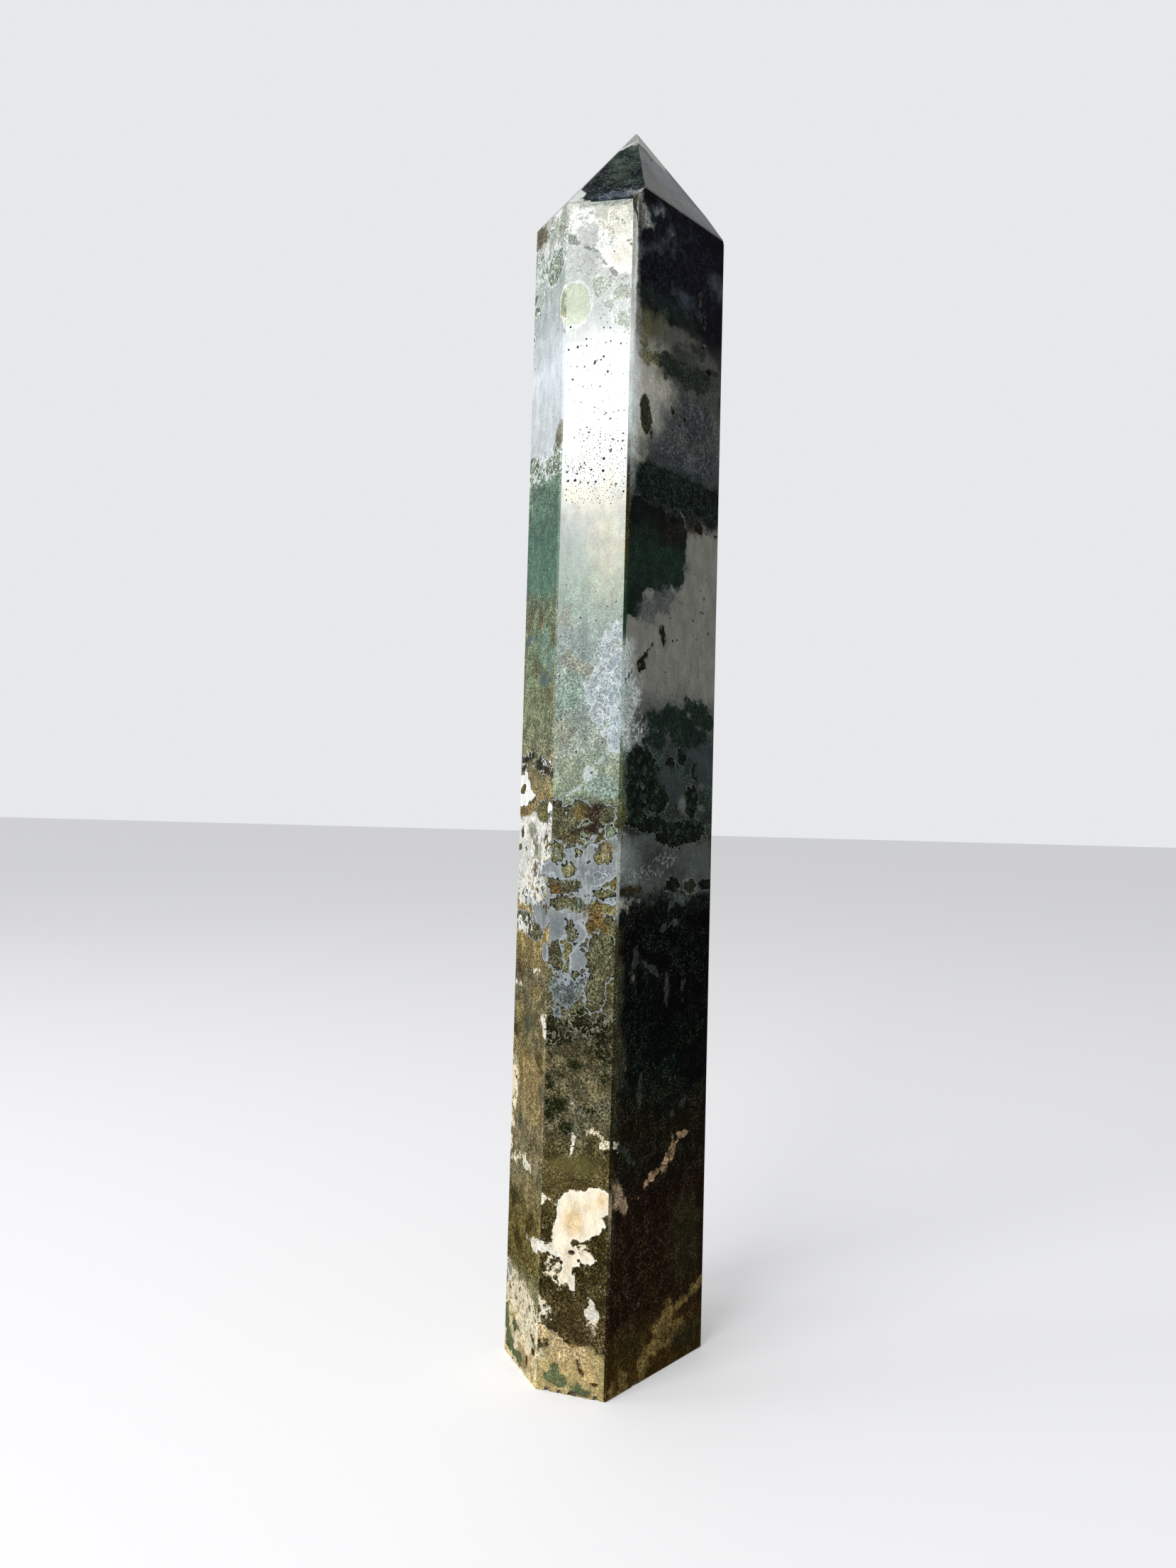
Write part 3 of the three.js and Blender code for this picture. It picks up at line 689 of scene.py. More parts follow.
        BACK_LEFT: [(51, 195, 4, 5), (46, 198, 4, 2), (30, 200, 3, 2)],
        LEFT: [(3.6, 195.4, 6.4, 4.8), (6.4, 199, 1.6, 3.4, 15), (10, 193.4, 5.4, 2.0, -15),
               (16, 193.2, 3.0, 0.6),
               (4, 190.6, 5, 1.4), (28.5, 188.4, 0.8, 1.4)],
    }, grain=0.05, ragged=0.8, soft=0.2, lines=[(0.15, 0.25, "3c3420")]),
    "islands in the white star": Marking("6e6038", {
        LEFT: [(3.2, 195.2, 2.4, 1.2, 15), (14.2, 191.4, 1.8, 0.7, 15)],
    }, grain=0.9, ragged=0.5, soft=0.2, lines=[OUTLINE]),
    "caramel band": Marking("8a7650", {
        LEFT: [(4.4, 187.2, 6.5, 1.5), (12, 188.6, 5, 1.0), (1, 205.4, 2, 1.2), (1, 210.6, 2.4, 1.0)],
    }, grain=0.9, ragged=0.9, soft=0.5),
    "dark streaks": Marking("34342c", {
        LEFT: [(21, 203, 9, 2.8, -15), (14, 206, 4, 1.4, -15), (4, 205.6, 4, 0.7), (2, 202.8, 2.6, 0.6)],
    }, grain=1.0, ragged=1.8, soft=0.5),
    "white flecks in the streaks": Marking("e8e8e0", {
        LEFT: [(3, 207.6, 3.0, 0.7), (7, 207.8, 2.0, 0.7), (3, 203.8, 3.4, 0.45),
               (20, 200.8, 4, 0.35, -15), (25, 204, 5, 1.6, -15)],
    }, grain=0.5, ragged=1.2, soft=0.3, pattern="threads"),
    "grey band fades out": Marking("484d4a", {
        RIGHT: [(14, 173, 20, 7.5), (36, 172, 20, 6)],
    }, grain=0.35, ragged=1.0, soft=0.8),
    "light end of the grey band": Marking("7a807e", {
        RIGHT: [(0, 171, 9, 7)],
    }, grain=0.4, ragged=1.0, soft=5.0, strength=0.7),
    "dark cloud in the grey band": Marking("2a2f2c", {
        RIGHT: [(21, 173, 9, 4), (30, 168, 6, 3)],
    }, grain=0.5, ragged=1.6, soft=4.0, strength=0.75),
    "pale flecks in the grey band": Marking("9aa2a2", {
        RIGHT: [(6, 167.4, 14, 2.6), (26, 172, 5, 2)],
    }, grain=0.6, ragged=1.4, pattern="threads", soft=0.8, strength=0.6),
    "ochre under the grey band": Marking("2e281a", {
        RIGHT: [(5, 162, 7, 1.1)],
    }, grain=0.8, soft=0.5),
    "dark moss": Marking("151c16", {
        RIGHT: [(8, 204, 10, 7), (6, 190, 8, 7), (20, 196, 8, 8), (17, 184, 10, 3), (30, 180.6, 10, 4.2),
                (40, 182, 9, 4),
                (40, 192, 4, 6), (44, 203, 4, 4), (27, 204, 3, 3), (29.8, 163.4, 4.4, 2.4),
                (50, 163, 5, 2), (34, 208, 3, 3)],
    }, grain=0.9, ragged=1.0, soft=0.35, edge="lobed", lines=[(0.4, 0.35, "4c544e"), (0.0, 0.3, "040604")]),
    "moss cells": Marking("2a3a31", {
        RIGHT: [(10, 204, 11, 8), (8, 190, 9, 7), (22, 194, 9, 9), (34, 183, 14, 5), (42, 196, 8, 8)],
    }, pattern="islands", ragged=1.0, soft=1.4, strength=0.6, grain=0.8),
    "olive brown blob": Marking("282a20", {
        RIGHT: [(40.5, 162.7, 4.0, 2.6)],
    }, grain=0.5, edge="lobed", soft=0.3, lines=[(0.3, 0.3, "5c605a")]),
    "smear under the grey band": Marking("444b48", {
        RIGHT: [(33.4, 158.4, 6, 1.6)],
    }, grain=0.5, ragged=1.4, soft=0.8, strength=0.8),
    "cloudy grey in the moss": Marking("343b3a", {
        RIGHT: [(30, 197, 5, 6), (48, 204, 5, 8), (44, 210, 8, 4), (24, 201, 3, 3)],
    }, grain=0.3, ragged=1.2, soft=0.8, strength=0.9),
    "sage on the front edge": Marking("4a5a48", {
        RIGHT: [(0, 200, 2.6, 9), (0, 190, 3.6, 6)],
    }, grain=0.8, ragged=1.2, soft=1.2),
    "khaki on the front edge": Marking("46452e", {
        RIGHT: [(0.2, 187, 3.2, 4.5)],
    }, grain=0.8, soft=0.8),
    "pale spots with pits": Marking("545854", {
        RIGHT: [(34.4, 190.4, 2.4, 2.8), (46, 190, 1.8, 1.4), (46.2, 197.6, 1.4, 1.3)],
    }, grain=0.4, ragged=0.8, soft=1.0),
    "mint": Marking("93a49a", {
        BACK: [(6, 205, 6, 8)], BACK_LEFT: [(30, 214, 10, 6)],
        CENTRE: [(18, 195.5, 5.0, 4.2), (15, 198.6, 3, 2), (5, 229, 5.6, 8), (4, 219, 3.5, 4)],
    }, grain=0.8, ragged=0.9, soft=0.6),
    "whitish vein": Marking("bcc6c4", {
        CENTRE: [(8, 194.2, 3.4, 1.1, 30), (13.4, 200, 2.0, 3.2, -30), (17.6, 205, 2.6, 1.0, 45),
                 (22, 207.6, 3, 1.0, 15)],
    }, grain=0.3, ragged=0.8, soft=0.5),
    "pinkish beige": Marking("9c947c", {
        CENTRE: [(3.4, 214.5, 3.0, 4, -15), (7, 237, 4.4, 2.4, -30), (13, 233, 2, 2.4), (3, 251.5, 3.6, 3)],
    }, grain=0.8, ragged=1.6, soft=2.0, strength=0.45),
    "blue white chalcedony": Marking("a0abaf", {
        BACK: [(12, 228, 7, 12), (16, 240, 5, 7)], BACK_LEFT: [(20, 236, 9, 7), (34, 226, 6, 4)],
        CENTRE: [(17.5, 226, 5.6, 8), (20.6, 237, 4.0, 7), (15, 222, 3.4, 3), (22.5, 214, 3, 6),
                 (22, 245, 2.4, 3)],
    }, grain=0.55, ragged=2.4, soft=0.8, lines=[(-0.2, 0.5, "c2ccd0")]),
    "white threads in the chalcedony": Marking("dfe5e6", {
        CENTRE: [(18, 228, 8, 16), (21, 246, 4, 5)],
    }, pattern="threads", ragged=1.6, soft=2.5, strength=0.65),
    "mist at the front edge": Marking("a6afae", {
        RIGHT: [(0, 225, 7, 14), (0, 240, 5, 7), (2, 213, 6, 4)],
    }, grain=0.7, ragged=2.4, soft=3.0, strength=0.85),
    "threads at the front edge": Marking("c4caca", {
        RIGHT: [(1, 225, 8, 17), (6, 215, 7, 4)],
    }, pattern="threads", ragged=1.6, soft=3.0, strength=0.7),
    "slate on the left face": Marking("60706e", {
        LEFT: [(20, 233, 3.4, 2.6), (26, 231.5, 4, 1), (8, 247.5, 7.5, 1.3)],
    }, grain=0.5, ragged=0.9, soft=0.6),
    "light teal on the left face": Marking("7a9082", {
        LEFT: [(26, 238, 4.0, 5), (20, 246, 5, 3.4), (16, 244, 3, 2), (22, 239, 3, 2)],
    }, grain=0.8, ragged=1.6, soft=0.8),
    "brown on the left face": Marking("6c6448", {
        LEFT: [(26.5, 226.5, 4, 2.2), (13, 237, 3.4, 2.0, -30), (27.8, 246, 2.2, 3), (4, 254, 3, 3.6),
               (15, 252, 3, 2)],
    }, grain=0.9, ragged=1.4, soft=1.2, strength=0.7),
    "green streak over the moss": Marking("1c2822", {
        RIGHT: [(28, 219, 14, 5.4), (44, 223, 10, 4.4, -15), (38, 215, 10, 4), (18, 213, 6, 3)],
    }, grain=0.8, ragged=1.4, soft=1.0),
    "fibres in the taupe": Marking("86867c", {
        RIGHT: [(28, 240, 24, 14), (40, 262, 12, 14), (44, 282, 8, 8)],
    }, pattern="fibres", ragged=1.2, soft=2.0, strength=0.2),
    "veils in the chalcedony": Marking("c8cece", {
        CENTRE: [(12, 170, 14, 7.5), (12, 162, 4, 6), (9, 153.5, 6, 3), (11, 148, 2.4, 7)],
        LEFT: [(24, 153, 7, 5.0, -15), (26, 168.4, 7, 2.8)],
    }, pattern="fibres", ragged=1.0, soft=1.0, strength=0.25),
    "brown pocket": Marking("1c160e", {
        RIGHT: [(9, 236.6, 1.8, 1.4), (8.4, 235.4, 1.0, 1.0), (13, 242.4, 3.4, 0.25, 45),
                (21.6, 247.4, 0.9, 1.4),
                (41, 289, 2.8, 2.0), (47, 288.6, 2.4, 0.5)],
    }, grain=0.8, ragged=1.2, soft=0.4),
    "green field": Marking("17211b", {
        BACK_RIGHT: [(10, 276, 12, 12), (22, 268, 8, 9)],
        RIGHT: [(12, 278, 17, 16), (3, 260, 7, 7), (28, 282, 6, 11), (27, 270, 5, 5, -30),
                (14, 267, 12, 5), (4, 256, 6, 4)],
    }, grain=0.5, ragged=1.1, soft=0.4, lines=[(0.5, 0.4, "5e615a")]),
    "green cells of the field": Marking("1b2b23", {
        RIGHT: [(14, 271, 16, 8), (26, 274, 7, 6)],
    }, ragged=2.0, soft=3.0, strength=0.75, grain=0.6),
    "brown top of the green field": Marking("1a1713", {
        RIGHT: [(25, 285, 9, 5), (36, 289, 4, 3)],
    }, grain=0.7, ragged=1.6, soft=2.0, strength=0.85),
    "night blue over the green field": Marking("080b0e", {
        RIGHT: [(14, 291, 14, 4), (4, 288, 6, 6)],
    }, grain=0.5, ragged=1.6, soft=2.0, strength=0.8),
    "crystals under the green field": Marking("464c4c", {
        RIGHT: [(19, 259, 9, 4, 15), (26, 263, 4, 2), (12, 255, 5, 4)],
    }, grain=0.6, ragged=2.2, soft=1.2, strength=0.8),
    "green on the front edge": Marking("18271e", {
        RIGHT: [(0.2, 258, 1.8, 9)],
    }, grain=0.6, soft=0.8),
    "golden line on the front edge": Marking("4a3e1e", {
        RIGHT: [(0.3, 282, 1.0, 10)],
    }, grain=0.7, ragged=0.6, soft=0.8, strength=0.8),
    "black green band": Marking("101816", {
        BACK_RIGHT: [(14, 299, 18, 6)], BACK: [(2, 300, 8, 5)],
        RIGHT: [(20, 299, 26, 6.5), (46, 300, 12, 5.5)],
    }, grain=0.9, ragged=1.6, soft=0.7, lines=[(0.4, 0.3, "2c322f")]),
    "threads in the black band": Marking("2a3632", {
        RIGHT: [(26, 299, 28, 8)],
    }, pattern="threads", ragged=1.0, soft=1.0, strength=0.7),
    "pale shore over the band": Marking("8c8f80", {
        RIGHT: [(3, 311, 7, 7)],
    }, grain=0.4, ragged=1.4, soft=1.8, strength=0.9),
    "cream tints": Marking("e4dcbc", {
        CENTRE: [(3, 311, 3.6, 2.6), (10.5, 305, 2, 6), (18, 299, 4, 3), (5, 294, 3, 3)],
    }, grain=0.2, soft=1.6, strength=0.6),
    "warm tint above the mint": Marking("d6ceb2", {
        CENTRE: [(18, 276, 6, 18), (14, 290, 9, 6)],
    }, grain=0.25, ragged=1.2, soft=5.0, strength=0.5),
    "light taupe": Marking("a8a69a", {
        RIGHT: [(6, 328, 12, 16), (13, 331, 9, 6), (6, 345, 7, 3)],
    }, grain=0.2, ragged=1.6, soft=6.0, strength=0.9),
    # Painted light: the wide face beside the front edge is lightened where the edge gets the softbox light
    "painted light beside the edge": Marking("c6cfce", {
        RIGHT: [(0, 326, 4.4, 24)],
    }, grain=0.2, ragged=0.5, soft=3.0, strength=0.95),
    "slate over the band": Marking("2c3034", {
        RIGHT: [(20, 311, 14, 4.4), (36, 326, 10, 8), (44, 312, 8, 6)],
    }, grain=0.6, ragged=2.0, soft=3.0, strength=0.7),
    "crazing": Marking("6c7072", {
        RIGHT: [(32, 321, 24, 14)],
    }, pattern="threads", ragged=1.0, soft=3.0, strength=0.5),
    "taupe band under the night blue": Marking("504f4a", {
        RIGHT: [(25, 352.5, 18, 3.6), (44, 350, 6, 3)],
    }, grain=0.3, ragged=1.4, soft=1.6, strength=0.85),
    "dark green over the taupe band": Marking("1a2420", {
        BACK_RIGHT: [(12, 362, 14, 4)],
        RIGHT: [(22, 361, 22, 3.6), (38, 352, 5, 1.6)],
    }, grain=0.6, ragged=1.6, soft=1.4, strength=0.8),
    "night blue": Marking("040816", {
        RIGHT: [(30, 379, 25, 14), (46, 362, 8, 8)],
    }, grain=0.4, ragged=1.6, soft=4.0, strength=0.8),
    "moss blob": Marking("2c2e20", {
        RIGHT: [(8.6, 320.5, 3.0, 6.2), (12, 314, 1.4, 3)],
    }, grain=0.9, ragged=1.0, soft=0.5),
    "dark moss band": Marking("252c26", {
        RIGHT: [(30, 341, 17, 4.4), (40, 342, 8, 4.0), (52, 338, 1.4, 2)],
    }, grain=0.8, ragged=1.4, soft=0.7),
    "olive end of the moss band": Marking("55553a", {
        RIGHT: [(9, 340.6, 6, 2.4), (6, 343.6, 3, 1)],
    }, grain=0.8, ragged=1.4, soft=0.8, strength=0.85),
    "olive glow beside the edge": Marking("4a4a34", {
        RIGHT: [(5, 350.6, 8, 5.4), (12, 354, 6, 2.4)],
    }, grain=0.35, ragged=1.6, soft=3.4, strength=0.85),
    # Grey stone, partly painted light: the strip beside the upper front edge is lightened for the light that
    # edge catches
    "grey strip with painted light beside the edge": Marking("74766f", {
        RIGHT: [(0, 374, 2.8, 20), (1, 352, 3, 6)],
    }, grain=0.5, ragged=1.6, soft=2.0, strength=0.9),
    "wisps under the shoulder": Marking("3c4348", {
        RIGHT: [(19.5, 386.5, 2.6, 1.8, -30), (30, 367, 5, 2.4, -15), (12, 379, 6, 1.0, 15),
                (18, 383, 5, 0.7, 30),
                (50, 379, 5, 4), (8, 389, 7, 1.6, 30), (34, 367, 3, 3)],
    }, grain=0.6, ragged=2.0, soft=2.4, strength=0.8),
    "threads under the shoulder": Marking("262c38", {
        RIGHT: [(26, 378, 26, 18)],
    }, pattern="threads", ragged=1.0, soft=2.0, strength=0.5),
    "rough grey corner": Marking("7c807c", {
        RIGHT: [(2.0, 391, 3.6, 5.0, 30), (6, 386.5, 4, 1.2, 30)],
    }, grain=0.9, ragged=2.0, soft=1.4),
    # Painted highlight: a white strip along the front edge, where the rounded edge catches the softbox light
    "painted highlight beside the front edge": Marking("f2f4f2", {
        RIGHT: [(-0.6, 345, 2.5, 36), (-0.6, 374, 2.7, 42)],
    }, grain=0.3, ragged=0.4, soft=0.7),
    # Painted shade and highlight: small pits painted near black for the shade inside them, with a lighter rim
    # for the light their rims catch
    "pits with painted shade and rim highlight": Marking("100f0c", {
        RIGHT: [(27, 351, 0.8, 0.6), (41, 354.6, 1.3, 0.6, 30), (46, 347, 2.2, 0.6, 15),
                (38.4, 370, 0.3, 1.0),
                (41.6, 363, 0.3, 1.4), (53, 339, 0.6, 1.0), (24, 326, 0.5, 0.8), (31, 325, 0.8, 0.7),
                (20.6, 386, 1.0, 0.4, 45)],
    }, grain=0.4, ragged=1.0, soft=0.4, lines=[(0.2, 0.25, "3e3e3a")]),
    # Painted highlight: a thin light line along the front edge's rounding
    "painted highlight line of the front edge": Marking("d4d8d4", {
        RIGHT: [(-0.3, 350, 0.6, 40), (-0.3, 226, 0.7, 16), (-0.3, 52, 0.7, 16)],
    }, grain=0.4, ragged=0.1, soft=0.4, strength=0.9),
    "olive spot at the edge": Marking("aab49a", {
        LEFT: [(29, 358.5, 3.6, 7)],
    }, grain=0.6, ragged=0.7, soft=0.4, lines=[WHITE_RIM]),
    "brown foot of the olive spot": Marking("77725a", {
        LEFT: [(30, 356, 1.2, 4), (28.4, 314, 3.2, 4.4, -30), (24, 310, 1.6, 1.2)],
    }, grain=0.8, ragged=1.0, soft=0.8, strength=0.9),
    "green lace on the left face": Marking("7c8c7a", {
        BACK_LEFT: [(30, 372, 12, 5), (48, 310, 6, 4), (30, 306, 8, 4)], BACK: [(6, 306, 6, 4)],
        LEFT: [(20, 375, 7, 6, -15), (10, 378, 5, 2.4), (3, 366, 2.6, 2), (2, 371, 2.4, 1.6),
               (6, 384, 2.4, 2),
               (4, 309, 5, 4), (21, 306, 6, 3), (27, 305, 4, 3)],
    }, grain=1.0, ragged=1.2, soft=0.5, lines=[(0.5, 0.4, "d8deda")]),
    "white threads on the left face": Marking("eaeeec", {
        LEFT: [(15, 378, 16, 8), (14, 307, 16, 6), (12, 390, 12, 6)],
    }, pattern="threads", ragged=1.2, soft=1.0),
    "green rings on the left face": Marking("a4ac9c", {
        BACK_LEFT: [(50, 386, 2, 3), (20, 388, 3, 2)],
        LEFT: [(17.5, 391.4, 3, 1.6), (24, 386.5, 3.2, 2.6, -15), (29, 383, 1.4, 1.6), (4, 385, 2.0, 2.6),
               (1, 356.5, 2.0, 2.2), (3.4, 364.4, 2.0, 1.2), (11.5, 388.5, 3.2, 2.4, 15)],
    }, grain=0.8, ragged=0.9, soft=0.3, lines=[WHITE_RIM, (0.0, 0.2, "5c6258")]),
    "white between the rings": Marking("f0f2ee", {
        LEFT: [(12, 384.5, 3, 3), (13.5, 379, 2.4, 1.6), (22, 393.2, 3, 1.4), (20, 383, 2, 1.2)],
    }, grain=0.1, ragged=1.2, soft=0.8, strength=0.8),
    "brown corner": Marking("746a56", {
        LEFT: [(3.5, 393, 6.0, 4.2, -15), (9, 390.4, 3, 2)],
    }, grain=1.0, ragged=1.6, soft=0.8),
    "heart of the small ring": Marking("4c5044", {
        LEFT: [(1, 356.5, 0.9, 1.0)],
    }, grain=0.6, ragged=0.5, soft=0.4),
    "yellow sage patch": Marking("a6b298", {
        BACK: [(16, 352, 5, 6)],
        CENTRE: [(3.6, 357.5, 6.0, 7.4)],
    }, grain=0.3, ragged=0.8, soft=0.4, lines=[(0.4, 0.5, "ccd2cc")]),
    "sage lace": Marking("8a9684", {
        BACK_LEFT: [(14, 356, 8, 5), (38, 348, 9, 4)],
        CENTRE: [(14, 363, 4.6, 3), (19, 359, 3.6, 5, -30), (21.6, 351, 2.6, 5)],
    }, grain=1.0, ragged=2.2, soft=0.9, strength=0.85, lines=[(0.4, 0.4, "d4dad4")]),
    "white shoulder": Marking("e9ebe4", {
        CENTRE: [(18, 377, 7.5, 10, -15), (5, 386.5, 6, 4), (20, 369, 5, 4)],
    }, grain=0.2, ragged=1.4, soft=0.9),
    "beige tint of the shoulder": Marking("ccc4a8", {
        CENTRE: [(19, 384, 5, 6), (20, 373, 4, 4), (15, 388, 5, 2)],
    }, grain=0.5, ragged=1.4, soft=2.0, strength=0.45),
    "rings in the grey": Marking("8a958c", {
        BACK: [(8, 372, 8, 8)],
        CENTRE: [(6, 372, 8, 7, -30), (13, 379, 5, 4, -30), (4, 384, 5, 6)],
    }, grain=0.6, ragged=1.0, soft=1.2, pattern="threads", strength=0.85),
    "ring spots": Marking("b2b2a2", {
        BACK_LEFT: [(44, 384, 3, 3), (30, 378, 3, 2.4)], BACK: [(8, 380, 3, 2.6)],
        CENTRE: [(16.5, 385.5, 2.6, 2.6), (20.4, 383, 1.8, 1.8), (12, 384, 1.6, 1.4),
                 (6, 383, 0.7, 1.8, -30), (9, 388, 1.4, 1.0)],
    }, grain=0.8, ragged=1.0, soft=0.5, lines=[(-0.3, 0.3, "e6e7e0")], strength=0.8),
    "diagonal lacy vein": Marking("48524a", {
        BACK: [(12, 340, 9, 1.2, -30)], BACK_LEFT: [(26, 330, 10, 1.2, 30)],
        CENTRE: [(3, 378.5, 4, 1.5, -30), (8, 376, 3.4, 1.1, -30), (12.5, 372, 3.6, 0.6, -45),
                 (17, 367, 3.6, 0.8, -45), (20.5, 364.3, 1.6, 1.0)],
    }, grain=1.0, ragged=0.9, soft=0.3, strength=0.9),
    "ochre spot": Marking("826838", {
        CENTRE: [(21.8, 376.6, 1.4, 0.9), (23, 375.4, 0.8, 0.8)],
    }, grain=0.6, ragged=0.8, soft=0.3),
    "grey strip under the shoulder": Marking("8c958c", {
        CENTRE: [(16.5, 391, 9.5, 1.5)],
    }, grain=0.9, ragged=0.7, soft=0.4),
}

# Markings on the faces of the point: along the face's foot, up its slope
POINT_MARKINGS = {
    "grey green clouds": Marking("4c584e", {
        CENTRE: [(12, 44, 3.4, 4), (8, 33, 3.6, 3), (11, 26, 5, 4), (12, 19, 4, 2.4), (14, 31, 2.4, 2.6),
                 (18, 14, 5, 2, 15)],
    }, grain=0.7, ragged=2.2, soft=1.6, strength=0.8),
    "night blue of the point": Marking("20272c", {
        CENTRE: [(8, 13, 6, 4), (17, 9, 8, 2.4, 15), (20, 22, 3, 4), (6, 24, 2, 5)],
    }, grain=0.5, ragged=2.2, soft=2.0, strength=0.8),
    "warm side of the ridge": Marking("6e6b62", {
        RIGHT: [(3, 12, 6, 22, 45), (8, 5, 12, 3)],
    }, grain=0.1, ragged=1.6, soft=4.0, strength=0.8),
    "pale cloud of the point": Marking("7c8082", {
        RIGHT: [(24, 24, 9, 10, 15), (34, 10, 10, 4)],
    }, grain=0.06, ragged=2.0, soft=6.0, strength=0.8),
    "pale threads": Marking("6c7870", {
        CENTRE: [(12, 26, 12, 24)],
        LEFT: [(14, 24, 16, 24)],
    }, pattern="threads", ragged=1.0, soft=2.0, strength=0.5),
    "white foot": Marking("e4e8e4", {
        CENTRE: [(1, 4, 3.4, 6.6), (3.6, 1, 2, 2)],
        LEFT: [(26, 4, 8, 8)],
    }, grain=0.15, ragged=0.8, soft=0.4),
    "slate wedge": Marking("4e5662", {
        CENTRE: [(18, 4.4, 7.0, 3.4, 15), (13, 2.4, 4, 1.6)],
    }, grain=0.7, ragged=2.2, soft=1.2),
    "pale streaks of the slate wedge": Marking("8c949c", {
        CENTRE: [(18, 5, 8, 4, 15)],
    }, grain=0.3, ragged=1.6, soft=1.2, pattern="threads", strength=0.8),
    "rough pale corner": Marking("9c9c94", {
        CENTRE: [(25.5, 4, 2.6, 5, 15), (23, 7.4, 3, 1, 30)],
    }, grain=0.8, ragged=1.6, soft=0.8),
    "pale tip": Marking("b0b2ac", {
        CENTRE: [(8, 57, 5.6, 9.5, 15), (6.4, 48, 2.2, 5)],
        RIGHT: [(25, 45, 9, 8.4), (28, 36, 4.6, 8, 15)],
        LEFT: [(4, 50, 10, 10)],
    }, grain=0.15, ragged=0.8, soft=0.4),
    "white line under the tip": Marking("dcdedc", {
        CENTRE: [(8.2, 46.6, 4.2, 0.5, 60)],
    }, ragged=0.3, soft=0.3),
    "dark crack beside the tip": Marking("222220", {
        RIGHT: [(19.8, 34.8, 1.2, 0.6, -30), (21.6, 32.6, 2.0, 0.4, -60), (22.6, 30, 1.2, 0.3, 45),
                (13.5, 21.5, 1.0, 0.5),
                (20, 6, 0.7, 0.5), (8, 11.5, 0.6, 0.4)],
    }, ragged=0.6, soft=0.4),
}


class Light:
    """How brightly a face is lit, how much glare its polish adds, where its colours were written down, and
    how strongly its pale grains get a painted glint.
    """

    def __init__(self, brightness, glare, glint):
        self.brightness = brightness
        self.glare = glare
        self.glint = glint

    def stone(self, text):
        """The stone's colour where a face shows the colour written as text, with the face's light and glare
        taken off; where the brightness is set above the light that the face gets, part of its shade stays in
        as painted shade.
        """
        return tuple(min(max((c - self.glare) / self.brightness, 0.002), 0.93) for c in srgb(text))


SUNLIT = Light(1.1, 0.02, 0.1)
# Painted shade: this brightness is set above the light that the wide right face gets, so its colours, the
# right of the point's and the right side's colours round the back stay darker than the stone's own
SHADE_PARTLY_PAINTED = Light(0.72, 0.003, 0.03)
ON_THE_EDGE = Light(0.8, 0.01, 0.15)

STONE_IOR = 1.54
WAVES_DEEP = 0.05


def ground_colour(nodes, level, stops, light):
    ramp = nodes.node("ShaderNodeValToRGB", {
        "stops": [(z / HEIGHT, (*light.stone(colour), grain)) for z, colour, grain in stops],
    }, {"Fac": level})
    return nodes.signal(ramp, "Color"), nodes.signal(ramp, "Alpha")


def lined(nodes, border, line, light, colour, grain):
    """Draws one thin line that follows a marking's border."""
    offset, width, paint = line
    return nodes.use(RIM_GROUP, {
        **border, "Offset": offset, "Width": width, "Paint": nodes.paint(light.stone(paint)),
        "Colour": nodes.paint(colour), "Grain": grain,
    })


